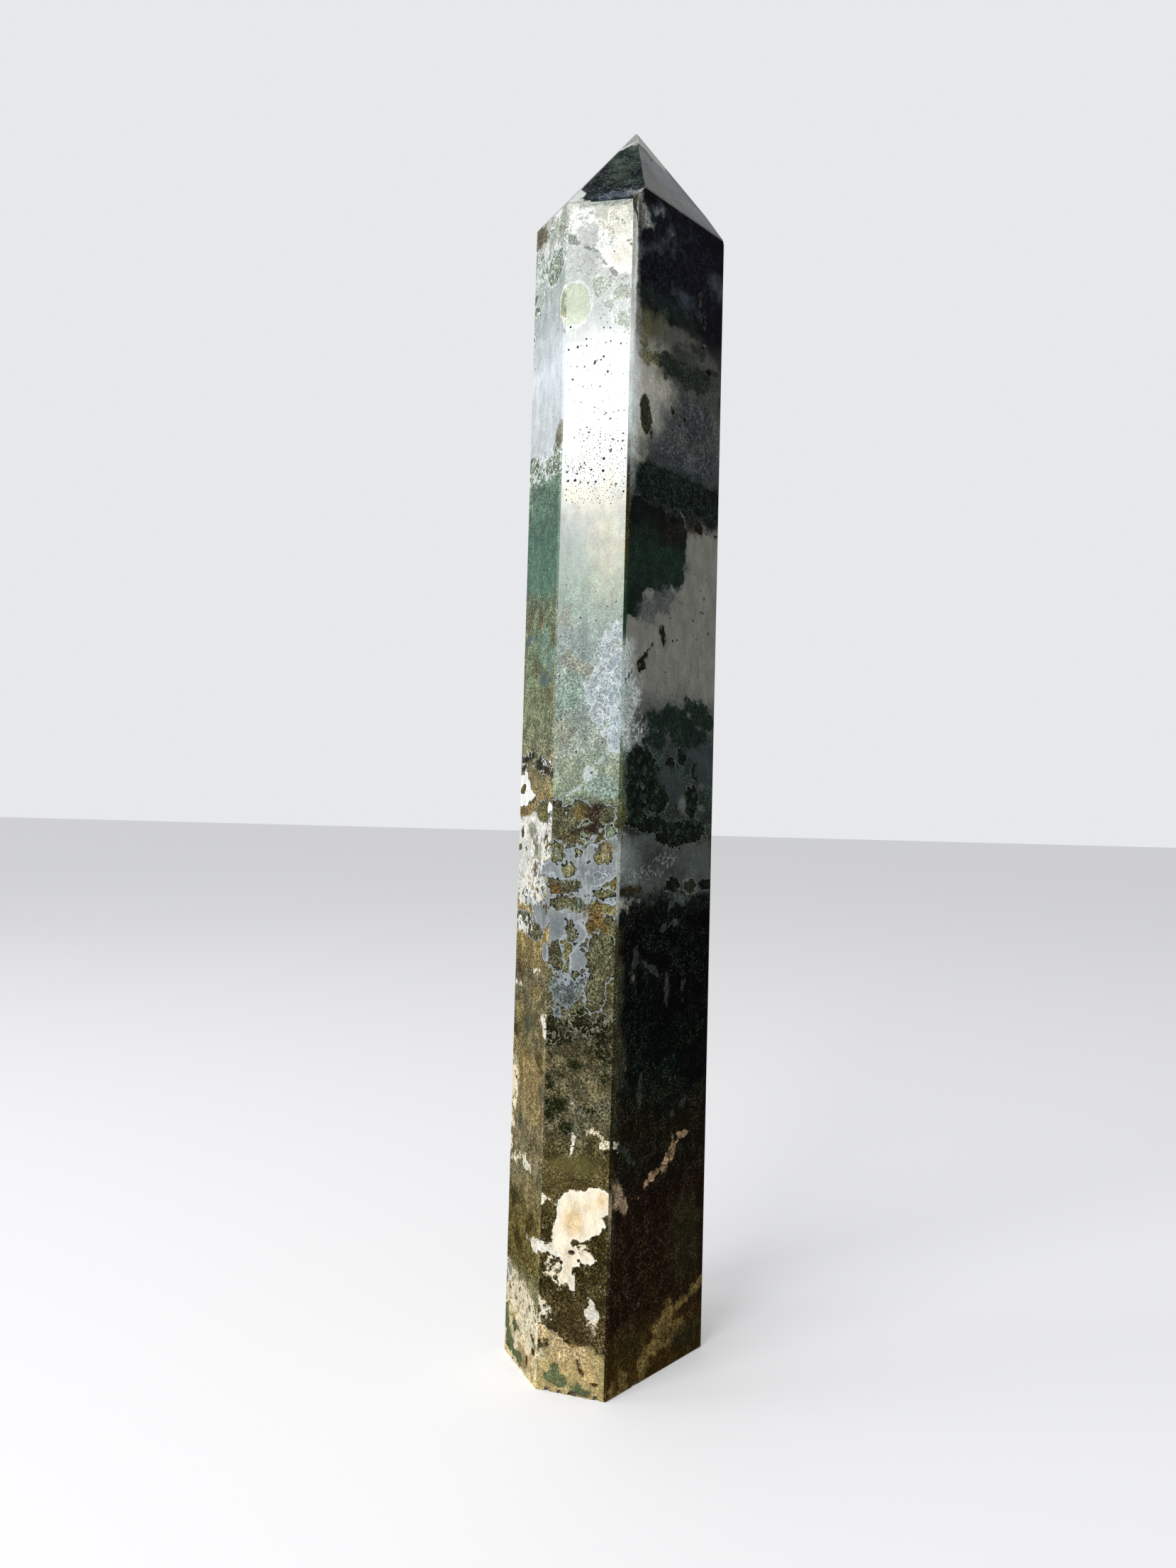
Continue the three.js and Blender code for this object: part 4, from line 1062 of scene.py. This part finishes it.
def agate(name, kind_of_face, index, ground, markings, light):
    """Polished agate as one face shows it: its ground colours by height, and its own markings."""
    material = bpy.data.materials.new(name)
    material.use_nodes = True
    nodes = Nodes(material.node_tree)
    at = nodes.scaled(nodes.signal(nodes.node("ShaderNodeTexCoord"), "Object"), 1 / MM)
    face = kind_of_face(nodes, at, index)
    edge = (nodes.noise(at, 5.0, 5.0, 0.6) - 0.5) * 7
    lobes = (nodes.cells(at, 1.5) - 0.45) * 2.0 + edge * 0.45
    edges = {"ragged": edge, "lobed": lobes}
    colour, grain = ground(nodes, at, edge)
    threads = abs(nodes.noise(at, 3.0, 2.0, 0.6) - 0.5)
    islands = nodes.cells(at, 2.6)
    drawn_out = nodes.noise(nodes.vector("MULTIPLY", at, (1.0, 1.0, 0.14)), 0.9, 2.0, 0.6)
    patterns = {
        "threads": nodes.step(threads, 0.035, 0.012),
        "islands": nodes.step(islands + edge * 0.06, 0.42, 0.34),
        "fibres": nodes.step(drawn_out, 0.48, 0.62),
        "net": nodes.step(threads, 0.1, 0.05),
        "lace": nodes.step(nodes.noise(at, 1.7, 3.0, 0.65), 0.47, 0.53),
    }

    for patch in markings.values():
        if index not in patch.spots:
            continue
        outside = face.nearest(patch.spots[index], patch.deep)
        strength = patch.strength
        if patch.pattern:
            strength = patterns[patch.pattern] * strength
        border = {"Outside": outside, "Edge": edges[patch.edge], "Ragged": patch.ragged}
        for line in patch.lines:
            if line[0] > 0:
                colour, grain = lined(nodes, border, line, light, colour, grain)
        colour, grain = nodes.use(MARKING_GROUP, {
            **border, "Soft": patch.soft, "Strength": strength,
            "Paint": nodes.paint(light.stone(patch.colour)), "Paint grain": patch.grain,
            "Colour": nodes.paint(colour), "Grain": grain,
        })
        for line in patch.lines:
            if line[0] <= 0:
                colour, grain = lined(nodes, border, line, light, colour, grain)
    [colour] = nodes.use(SAND_GROUP, {
        "At": at, "Colour": nodes.paint(colour), "Grain": grain, "Glint": light.glint,
    })
    waviness = nodes.noise(at, 7.0, 2.0)
    bump = nodes.node("ShaderNodeBump", None, {
        "Height": waviness, "Distance": WAVES_DEEP * MM, "Strength": 0.5,
    })
    surface = nodes.node("ShaderNodeBsdfPrincipled", None, {
        "Base Color": colour,
        "Roughness": grain * 0.12 + 0.12,
        "IOR": STONE_IOR,
        "Normal": nodes.signal(bump, "Normal"),
    })
    nodes.node("ShaderNodeOutputMaterial", None, {"Surface": nodes.signal(surface, "BSDF")})
    return material


def level_of(nodes, at, edge):
    """Height over the whole tower from 0 to 1, wandering as the stone's layers do."""
    height = nodes.split(at)[2]
    drift = nodes.noise(at, 16.0, 2.0) - 0.5
    return (height + drift * 12 + edge * 1.6) * (1 / HEIGHT)


def layered(stops, light):
    return lambda nodes, at, edge: ground_colour(nodes, level_of(nodes, at, edge), stops, light)


def far_layers(nodes, at, edge):
    """Round the back the layers pass over from those of the right side to those of the left."""
    across, away, up = nodes.split(at)
    sway = nodes.noise(at, 38.0, 1.0) - 0.5
    fall = nodes.math("MAXIMUM", away, 0.0) * (sway * 1.6 - 0.45)
    level = level_of(nodes, at, edge) + fall * (1 / HEIGHT)
    colour, grain = ground_colour(nodes, level, LEFT_GROUND, SUNLIT)
    # The right side's colours keep the painted shade of the wide right face
    right_colour, right_grain = ground_colour(nodes, level, RIGHT_GROUND, SHADE_PARTLY_PAINTED)
    share = nodes.step(across + edge * 6, -6, 12)
    return nodes.mix(share, colour, right_colour), grain + (right_grain - grain) * share


def plain(colour, grain, light):
    return lambda nodes, at, edge: (light.stone(colour), grain)


def broken_agate(name, deep, dusty):
    """The rough inside of a hollow, from its deep colour to its dusty one."""
    material = bpy.data.materials.new(name)
    material.use_nodes = True
    nodes = Nodes(material.node_tree)
    at = nodes.scaled(nodes.signal(nodes.node("ShaderNodeTexCoord"), "Object"), 1 / MM)
    dust = nodes.step(nodes.noise(at, 0.7, 3.0, 0.7), 0.45, 0.7)
    colour = nodes.mix(dust, srgb(deep), srgb(dusty))
    greyer = nodes.mix(1.0, colour, (0.8, 0.95, 1.15), "MULTIPLY")
    colour = nodes.mix(nodes.step(nodes.split(at)[2], 200, 260), colour, greyer)
    rough = nodes.noise(at, 0.35, 3.0, 0.7)
    bump = nodes.node("ShaderNodeBump", None, {"Height": rough, "Distance": 0.2 * MM, "Strength": 0.6})
    surface = nodes.node("ShaderNodeBsdfPrincipled", None, {
        "Base Color": colour, "Roughness": 0.6, "IOR": STONE_IOR, "Normal": nodes.signal(bump, "Normal"),
    })
    nodes.node("ShaderNodeOutputMaterial", None, {"Surface": nodes.signal(surface, "BSDF")})
    return material


# The shape of the stone

def merged(node):
    """A copy of the solid whose loose triangles share their corners."""
    copy = bmesh.new()
    copy.from_mesh(node.data)
    bmesh.ops.remove_doubles(copy, verts=copy.verts, dist=0.002 * MM)
    return copy


def hull_of(points):
    """A closed convex body round a list of points."""
    body = bmesh.new()
    for point in sorted(points, key=tuple):
        body.verts.new(point)
    bmesh.ops.convex_hull(body, input=body.verts)
    loose = [v for v in body.verts if not v.link_faces]
    bmesh.ops.delete(body, geom=loose, context="VERTS")
    bmesh.ops.recalc_face_normals(body, faces=body.faces)
    return body


def linked(name, body, materials):
    mesh = bpy.data.meshes.new(name)
    body.to_mesh(mesh)
    body.free()
    for material in materials:
        mesh.materials.append(material)
    thing = bpy.data.objects.new(name, mesh)
    bpy.context.scene.collection.objects.link(thing)
    return thing


def finished(thing):
    """Turns an object and its modifiers into a plain mesh."""
    bpy.context.view_layer.update()
    evaluated = thing.evaluated_get(bpy.context.evaluated_depsgraph_get())
    mesh = bpy.data.meshes.new_from_object(evaluated)
    thing.modifiers.clear()
    thing.data = mesh
    return thing


# The material of each face, by its place in the stone's list: side faces, faces of the point, and the rest
SIDE_LOOKS = (0, 1, 2, 3, 10, 11)
POINT_LOOKS = (6, 4, 5, 5, 4, 6)
FRONT_EDGE_LOOK = 7
HOLLOW_LOOKS = {8, 9}
EDGE_ROUNDING = 0.22 * MM
# Angles between faces, in degrees: which are one flat face, which edges are rounded and which shade smooth
FLAT_WITHIN = 0.4
EDGE_ROUNDED_FROM = 8
SMOOTH_WITHIN = 32
FIELD_SIZE = 5 * MM
# A face is a hollow's when it lies this deep, and each hollow is opened a little and roughened
HOLLOW_DEPTH = 0.05 * MM
HOLLOW_OPENED = 1.05
ROUGHNESS_SIZE = 0.8 * MM
ROUGHNESS_DEPTH = 0.12
ROUGHNESS_SEED = 4
AXES = (Vector((1, 0, 0)), Vector((0, 1, 0)), Vector((0, 0, 1)))


def ground_stone(solid, materials):
    """The stone as it was before it chipped, with rounded edges, and the planes of its flat faces."""
    body = hull_of([v.co.copy() for v in solid.verts])
    bmesh.ops.dissolve_limit(body, angle_limit=math.radians(FLAT_WITHIN), verts=body.verts, edges=body.edges)
    planes = [(f.normal.copy(), f.calc_center_median()) for f in body.faces]
    stone = linked("stone", body, materials)
    rounding = stone.modifiers.new("rounded edges", "BEVEL")
    rounding.width = EDGE_ROUNDING
    rounding.segments = 2
    rounding.limit_method = "ANGLE"
    rounding.angle_limit = math.radians(EDGE_ROUNDED_FROM)
    dice(finished(stone).data)
    return stone, planes


def dice(mesh):
    """Divides the flat faces into small fields, so that no field has more than a few hollows to go round."""
    body = bmesh.new()
    body.from_mesh(mesh)
    for axis in AXES:
        reach = [axis.dot(v.co) for v in body.verts]
        count = round((max(reach) - min(reach)) / FIELD_SIZE)
        for i in range(1, count):
            place = axis * (min(reach) + (max(reach) - min(reach)) * i / count)
            everything = body.verts[:] + body.edges[:] + body.faces[:]
            bmesh.ops.bisect_plane(body, geom=everything, plane_co=place, plane_no=axis, dist=1e-7)
    body.to_mesh(mesh)
    body.free()


def hollows_of(solid, planes, material):
    """Each pit and chip of the solid as a body of its own, a little rougher than it is there."""
    def inside(face):
        centre = face.calc_center_median()
        return all(normal.dot(centre - point) < -HOLLOW_DEPTH for normal, point in planes)

    field_noise.seed_set(ROUGHNESS_SEED)
    in_order = sorted(solid.faces, key=lambda face: tuple(face.calc_center_median()))
    waiting = dict.fromkeys(face for face in in_order if inside(face))
    joined = bmesh.new()
    while waiting:
        island = [waiting.popitem()[0]]
        for face in island:
            for edge in face.edges:
                for beside in edge.link_faces:
                    if beside in waiting:
                        del waiting[beside]
                        island.append(beside)
        corners = sorted({tuple(v.co) for face in island for v in face.verts})
        centre = sum((Vector(corner) for corner in corners), Vector()) / len(corners)
        body = hull_of([centre.lerp(Vector(corner), HOLLOW_OPENED) for corner in corners])
        bmesh.ops.subdivide_edges(body, edges=body.edges, cuts=1, use_grid_fill=True)
        for v in body.verts:
            v.co += field_noise.noise_vector(v.co / ROUGHNESS_SIZE) * ROUGHNESS_DEPTH * MM
        part = bpy.data.meshes.new("hollow")
        body.to_mesh(part)
        body.free()
        joined.from_mesh(part)
        bpy.data.meshes.remove(part)
    return linked("hollows", joined, [material])


def cut(stone, tool):
    """Takes the tool's bodies out of the stone, and the tool away."""
    saw = stone.modifiers.new("cut", "BOOLEAN")
    saw.operation = "DIFFERENCE"
    saw.object = tool
    saw.solver = "MANIFOLD"
    saw.material_mode = "TRANSFER"
    split_faces(finished(stone).data)
    bpy.data.objects.remove(tool)
    return stone


def split_faces(mesh):
    """Splits faces of more than four corners into triangles, none of which lies over another."""
    body = bmesh.new()
    body.from_mesh(mesh)
    for face in [f for f in body.faces if len(f.verts) > 4]:
        corners = face.verts[:]
        sideways = face.normal.orthogonal().normalized()
        upward = face.normal.cross(sideways)
        flat = [Vector((v.co.dot(sideways), v.co.dot(upward))) / MM for v in corners]
        places, _, triangles, origins, _, _ = delaunay_2d_cdt(flat, [], [list(range(len(flat)))], 1, 0.0)
        # A face whose border touches itself is left whole
        if len(places) != len(flat) or any(len(origin) != 1 for origin in origins):
            continue
        parts = [[corners[origins[i][0]] for i in triangle] for triangle in triangles]
        if any(body.faces.get(part) for part in parts):
            continue
        look = face.material_index
        body.faces.remove(face)
        for part in parts:
            body.faces.new(part).material_index = look
    body.to_mesh(mesh)
    body.free()


def soften(stone, angle):
    """Shades the stone smooth over edges flatter than angle, but sharp round the hollows."""
    body = bmesh.new()
    body.from_mesh(stone.data)
    for face in body.faces:
        face.smooth = True
    for edge in body.edges:
        looks = {face.material_index for face in edge.link_faces}
        edge.smooth = edge.calc_face_angle(0) < angle and not (looks & HOLLOW_LOOKS and len(looks) > 1)
    body.to_mesh(stone.data)
    body.free()
    weighting = stone.modifiers.new("flat faces stay flat", "WEIGHTED_NORMAL")
    weighting.mode = "FACE_AREA"
    weighting.keep_sharp = True
    return finished(stone)


# Where small grains have broken out: face, along and up it, half wide and half high, how many to a square
# centimetre, the least and the most radius, and how much of the patch stays bare
PITTED = [
    (CENTRE, 12.5, 294.5, 10.5, 6.5, 90, 0.18, 0.55, 0.48),
    (CENTRE, 17.5, 307.5, 5.0, 4.5, 110, 0.18, 0.55, 0.48),
    (CENTRE, 5.5, 301.6, 3.5, 1.8, 160, 0.18, 0.5, 0.36),
    (CENTRE, 12.5, 296, 10.5, 6.6, 240, 0.15, 0.3, 0.34),
    (CENTRE, 15, 308, 8.0, 5.4, 220, 0.15, 0.3, 0.38),
    (CENTRE, 6, 303, 4.4, 3.4, 220, 0.15, 0.3, 0.36),
    (CENTRE, 12.5, 331, 11.0, 22.0, 18, 0.13, 0.42, 0.4),
    (CENTRE, 12.5, 317.5, 9.0, 4.5, 30, 0.14, 0.42, 0.5),
    (CENTRE, 12.5, 370, 10.5, 16.0, 3, 0.12, 0.4, 0.4),
    (CENTRE, 12.5, 234, 11.0, 30.0, 16, 0.12, 0.34, 0.42),
    (LEFT, 15, 350, 13.0, 36.0, 2, 0.1, 0.35, 0.4),
    (RIGHT, 33, 321, 15.0, 13.5, 14, 0.15, 0.55, 0.48),
    (RIGHT, 41, 288.6, 5.0, 2.0, 90, 0.2, 0.6, 0.44),
    (RIGHT, 34, 258, 17.0, 28.0, 4, 0.12, 0.5, 0.5),
    (RIGHT, 30, 364, 20.0, 22.0, 3, 0.15, 0.45, 0.5),
    (BACK_RIGHT, 15, 300, 13.0, 60.0, 3, 0.12, 0.5, 0.5),
    (BACK, 12, 320, 10.5, 50.0, 8, 0.12, 0.45, 0.5),
    (BACK_LEFT, 27, 300, 24.0, 70.0, 4, 0.12, 0.5, 0.5),
]


def strew(nodes, patch, gap, crowding, smallest, largest, bare, seed):
    """Geometry nodes that strew small broken-out grains over a patch, thickly here and thinly there."""
    sown = nodes.node("GeometryNodeDistributePointsOnFaces", {"distribute_method": "POISSON"}, {
        "Mesh": patch, "Distance Min": gap, "Density Max": crowding, "Seed": seed,
    })
    place = nodes.scaled(nodes.signal(nodes.node("GeometryNodeInputPosition")), 1 / MM)
    empty = nodes.math("LESS_THAN", nodes.noise(place, 3.0, 3.0), bare)
    kept = nodes.node("GeometryNodeDeleteGeometry", {"domain": "POINT"}, {
        "Geometry": nodes.signal(sown, "Points"), "Selection": empty,
    })
    chance = nodes.signal(nodes.node("FunctionNodeRandomValue", None, {"Seed": seed}), 1)
    any_way = nodes.node("FunctionNodeRandomValue", {"data_type": "FLOAT_VECTOR"}, {"Seed": seed})
    radius = smallest + (largest - smallest) * chance * chance * chance
    flattened = nodes.vector("MULTIPLY_ADD", nodes.signal(any_way), (0.7, 0.7, 0.7), (0.6, 0.6, 0.6))
    grain = nodes.node("GeometryNodeMeshIcoSphere", None, {"Radius": 1.0, "Subdivisions": 1})
    any_turn = nodes.scaled(nodes.signal(any_way), 2 * math.pi)
    turned = nodes.node("FunctionNodeEulerToRotation", None, {0: any_turn})
    grains = nodes.node("GeometryNodeInstanceOnPoints", None, {
        "Points": nodes.signal(kept), "Instance": nodes.signal(grain, "Mesh"),
        "Rotation": nodes.signal(turned), "Scale": nodes.scaled(flattened, radius),
    })
    whole = nodes.node("GeometryNodeRealizeInstances", None, {0: nodes.signal(grains)})
    shove = nodes.vector("SUBTRACT", nodes.noise(place, 0.4, 2.0, 0.6, "Color"), (0.5, 0.5, 0.5))
    whole = nodes.node("GeometryNodeSetPosition", None, {
        "Geometry": nodes.signal(whole), "Offset": nodes.scaled(shove, largest * 1.5),
    })
    # The pits' near-black material is painted shade for the inside of the pits
    pit = bpy.data.materials["pit in painted shade"]
    painted = nodes.node("GeometryNodeSetMaterial", None, {"Geometry": nodes.signal(whole), "Material": pit})
    return [nodes.signal(painted)]


SQUARE = ((-1, -1), (1, -1), (1, 1), (-1, 1))
GAP_FOR_RADIUS = 2.7
TO_A_SQUARE_METRE = 1e4


def cut_small_pits(stone):
    """Cuts each patch's small pits in turn."""
    tree = group_of_nodes("strewn pits", {
        "Patch": "mesh", "Gap": "number", "Crowding": "number", "Smallest": "number", "Largest": "number",
        "Bare": "number", "Seed": "whole",
    }, {"Pits": "mesh"}, strew, "GeometryNodeTree")
    sockets = {item.name: item.identifier for item in tree.interface.items_tree if item.in_out == "INPUT"}
    for seed, (index, along, up, wide, high, crowding, smallest, largest, bare) in enumerate(PITTED, 1):
        start, end = corner_at(index, 0), corner_at(index + 1, 0)
        sideways = (end - start).normalized()
        outward = normal_of(start, end, shoulder_corner(index))
        upward = outward.cross(sideways)
        middle = start + sideways * along + upward * up
        body = bmesh.new()
        half_wide = sideways * wide
        half_high = upward * high
        corners = [middle + half_wide * x + half_high * y for x, y in SQUARE]
        body.faces.new([body.verts.new(corner * MM) for corner in corners])
        pits = linked("pits", body, [])
        scatter = pits.modifiers.new("strewn pits", "NODES")
        scatter.node_group = tree
        scatter[sockets["Gap"]] = GAP_FOR_RADIUS * largest * MM
        scatter[sockets["Crowding"]] = crowding * TO_A_SQUARE_METRE
        scatter[sockets["Smallest"]] = smallest * MM
        scatter[sockets["Largest"]] = largest * MM
        scatter[sockets["Bare"]] = bare
        scatter[sockets["Seed"]] = seed
        cut(stone, finished(pits))


def point_agate(name, index, light):
    return agate(name, point_face, index, plain(*POINT_GROUNDS[index], light), POINT_MARKINGS, light)


def make_tower():
    """The whole stone: ground, chipped, pitted and polished, each face with its own look."""
    broken = broken_agate("broken agate", "5a4f3d", "9c9078")
    materials = [
        agate("left face", side_face, LEFT, layered(LEFT_GROUND, SUNLIT), MARKINGS, SUNLIT),
        agate("narrow front face", side_face, CENTRE, layered(CENTRE_GROUND, SUNLIT), MARKINGS, SUNLIT),
        # The wide right face's colours keep painted shade
        agate("wide right face", side_face, RIGHT, layered(RIGHT_GROUND, SHADE_PARTLY_PAINTED), MARKINGS, SHADE_PARTLY_PAINTED),
        agate("back right face", side_face, BACK_RIGHT, far_layers, MARKINGS, SUNLIT),
        point_agate("front of the point", CENTRE, SUNLIT),
        # The right of the point keeps painted shade in its colours
        point_agate("right of the point", RIGHT, SHADE_PARTLY_PAINTED),
        point_agate("left of the point", LEFT, SUNLIT),
        agate("front edge", side_face, RIGHT, layered(EDGE_GROUND, ON_THE_EDGE), {}, ON_THE_EDGE),
        broken,
        # Painted shade: the small pits are coloured near black for the shade and missing reflection inside
        # them
        broken_agate("pit in painted shade", "0c0b0a", "3a362e"),
        agate("narrow back face", side_face, BACK, far_layers, MARKINGS, SUNLIT),
        agate("back left face", side_face, BACK_LEFT, far_layers, MARKINGS, SUNLIT),
    ]
    solid = merged(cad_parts["tower"])
    stone, planes = ground_stone(solid, materials)
    hollows = hollows_of(solid, planes, broken)
    solid.free()
    dress(stone)
    cut(stone, hollows)
    cut_small_pits(stone)
    soften(stone, math.radians(SMOOTH_WITHIN))
    stone.name = "moss_agate_tower"
    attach(stone, "root")
    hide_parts("tower")


def normal_of(start, end, above):
    return (end - start).cross(above - start).normalized()


def dress(stone):
    """Gives each polygon the material of the face that it lies on, or that it lies nearest in direction."""
    looks = []
    for index in range(6):
        start, end = corner_at(index, 0), corner_at(index + 1, 0)
        looks.append((normal_of(start, end, shoulder_corner(index)), SIDE_LOOKS[index]))
        slope = normal_of(shoulder_corner(index), shoulder_corner(index + 1), APEX)
        looks.append((slope, POINT_LOOKS[index]))
    looks.append(((looks[2 * CENTRE][0] + looks[2 * RIGHT][0]).normalized(), FRONT_EDGE_LOOK))
    for polygon in stone.data.polygons:
        polygon.material_index = max(looks, key=lambda look: look[0].dot(polygon.normal))[1]


# Floor

def lay_floor():
    material = bpy.data.materials.new("pale floor")
    material.use_nodes = True
    nodes = Nodes(material.node_tree)
    surface = nodes.node("ShaderNodeBsdfPrincipled", None, {
        "Base Color": (0.85, 0.85, 0.86, 1), "Roughness": 0.7,
        "Emission Color": (1.0, 1.0, 1.0, 1), "Emission Strength": 0.25,
    })
    nodes.node("ShaderNodeOutputMaterial", None, {"Surface": nodes.signal(surface, "BSDF")})
    body = bmesh.new()
    bmesh.ops.create_grid(body, x_segments=1, y_segments=1, size=30)
    floor = linked("floor", body, [material])
    floor.visible_glossy = False


bpy.context.scene.view_settings.view_transform = "Standard"
place_camera()
light_studio()
make_tower()
lay_floor()
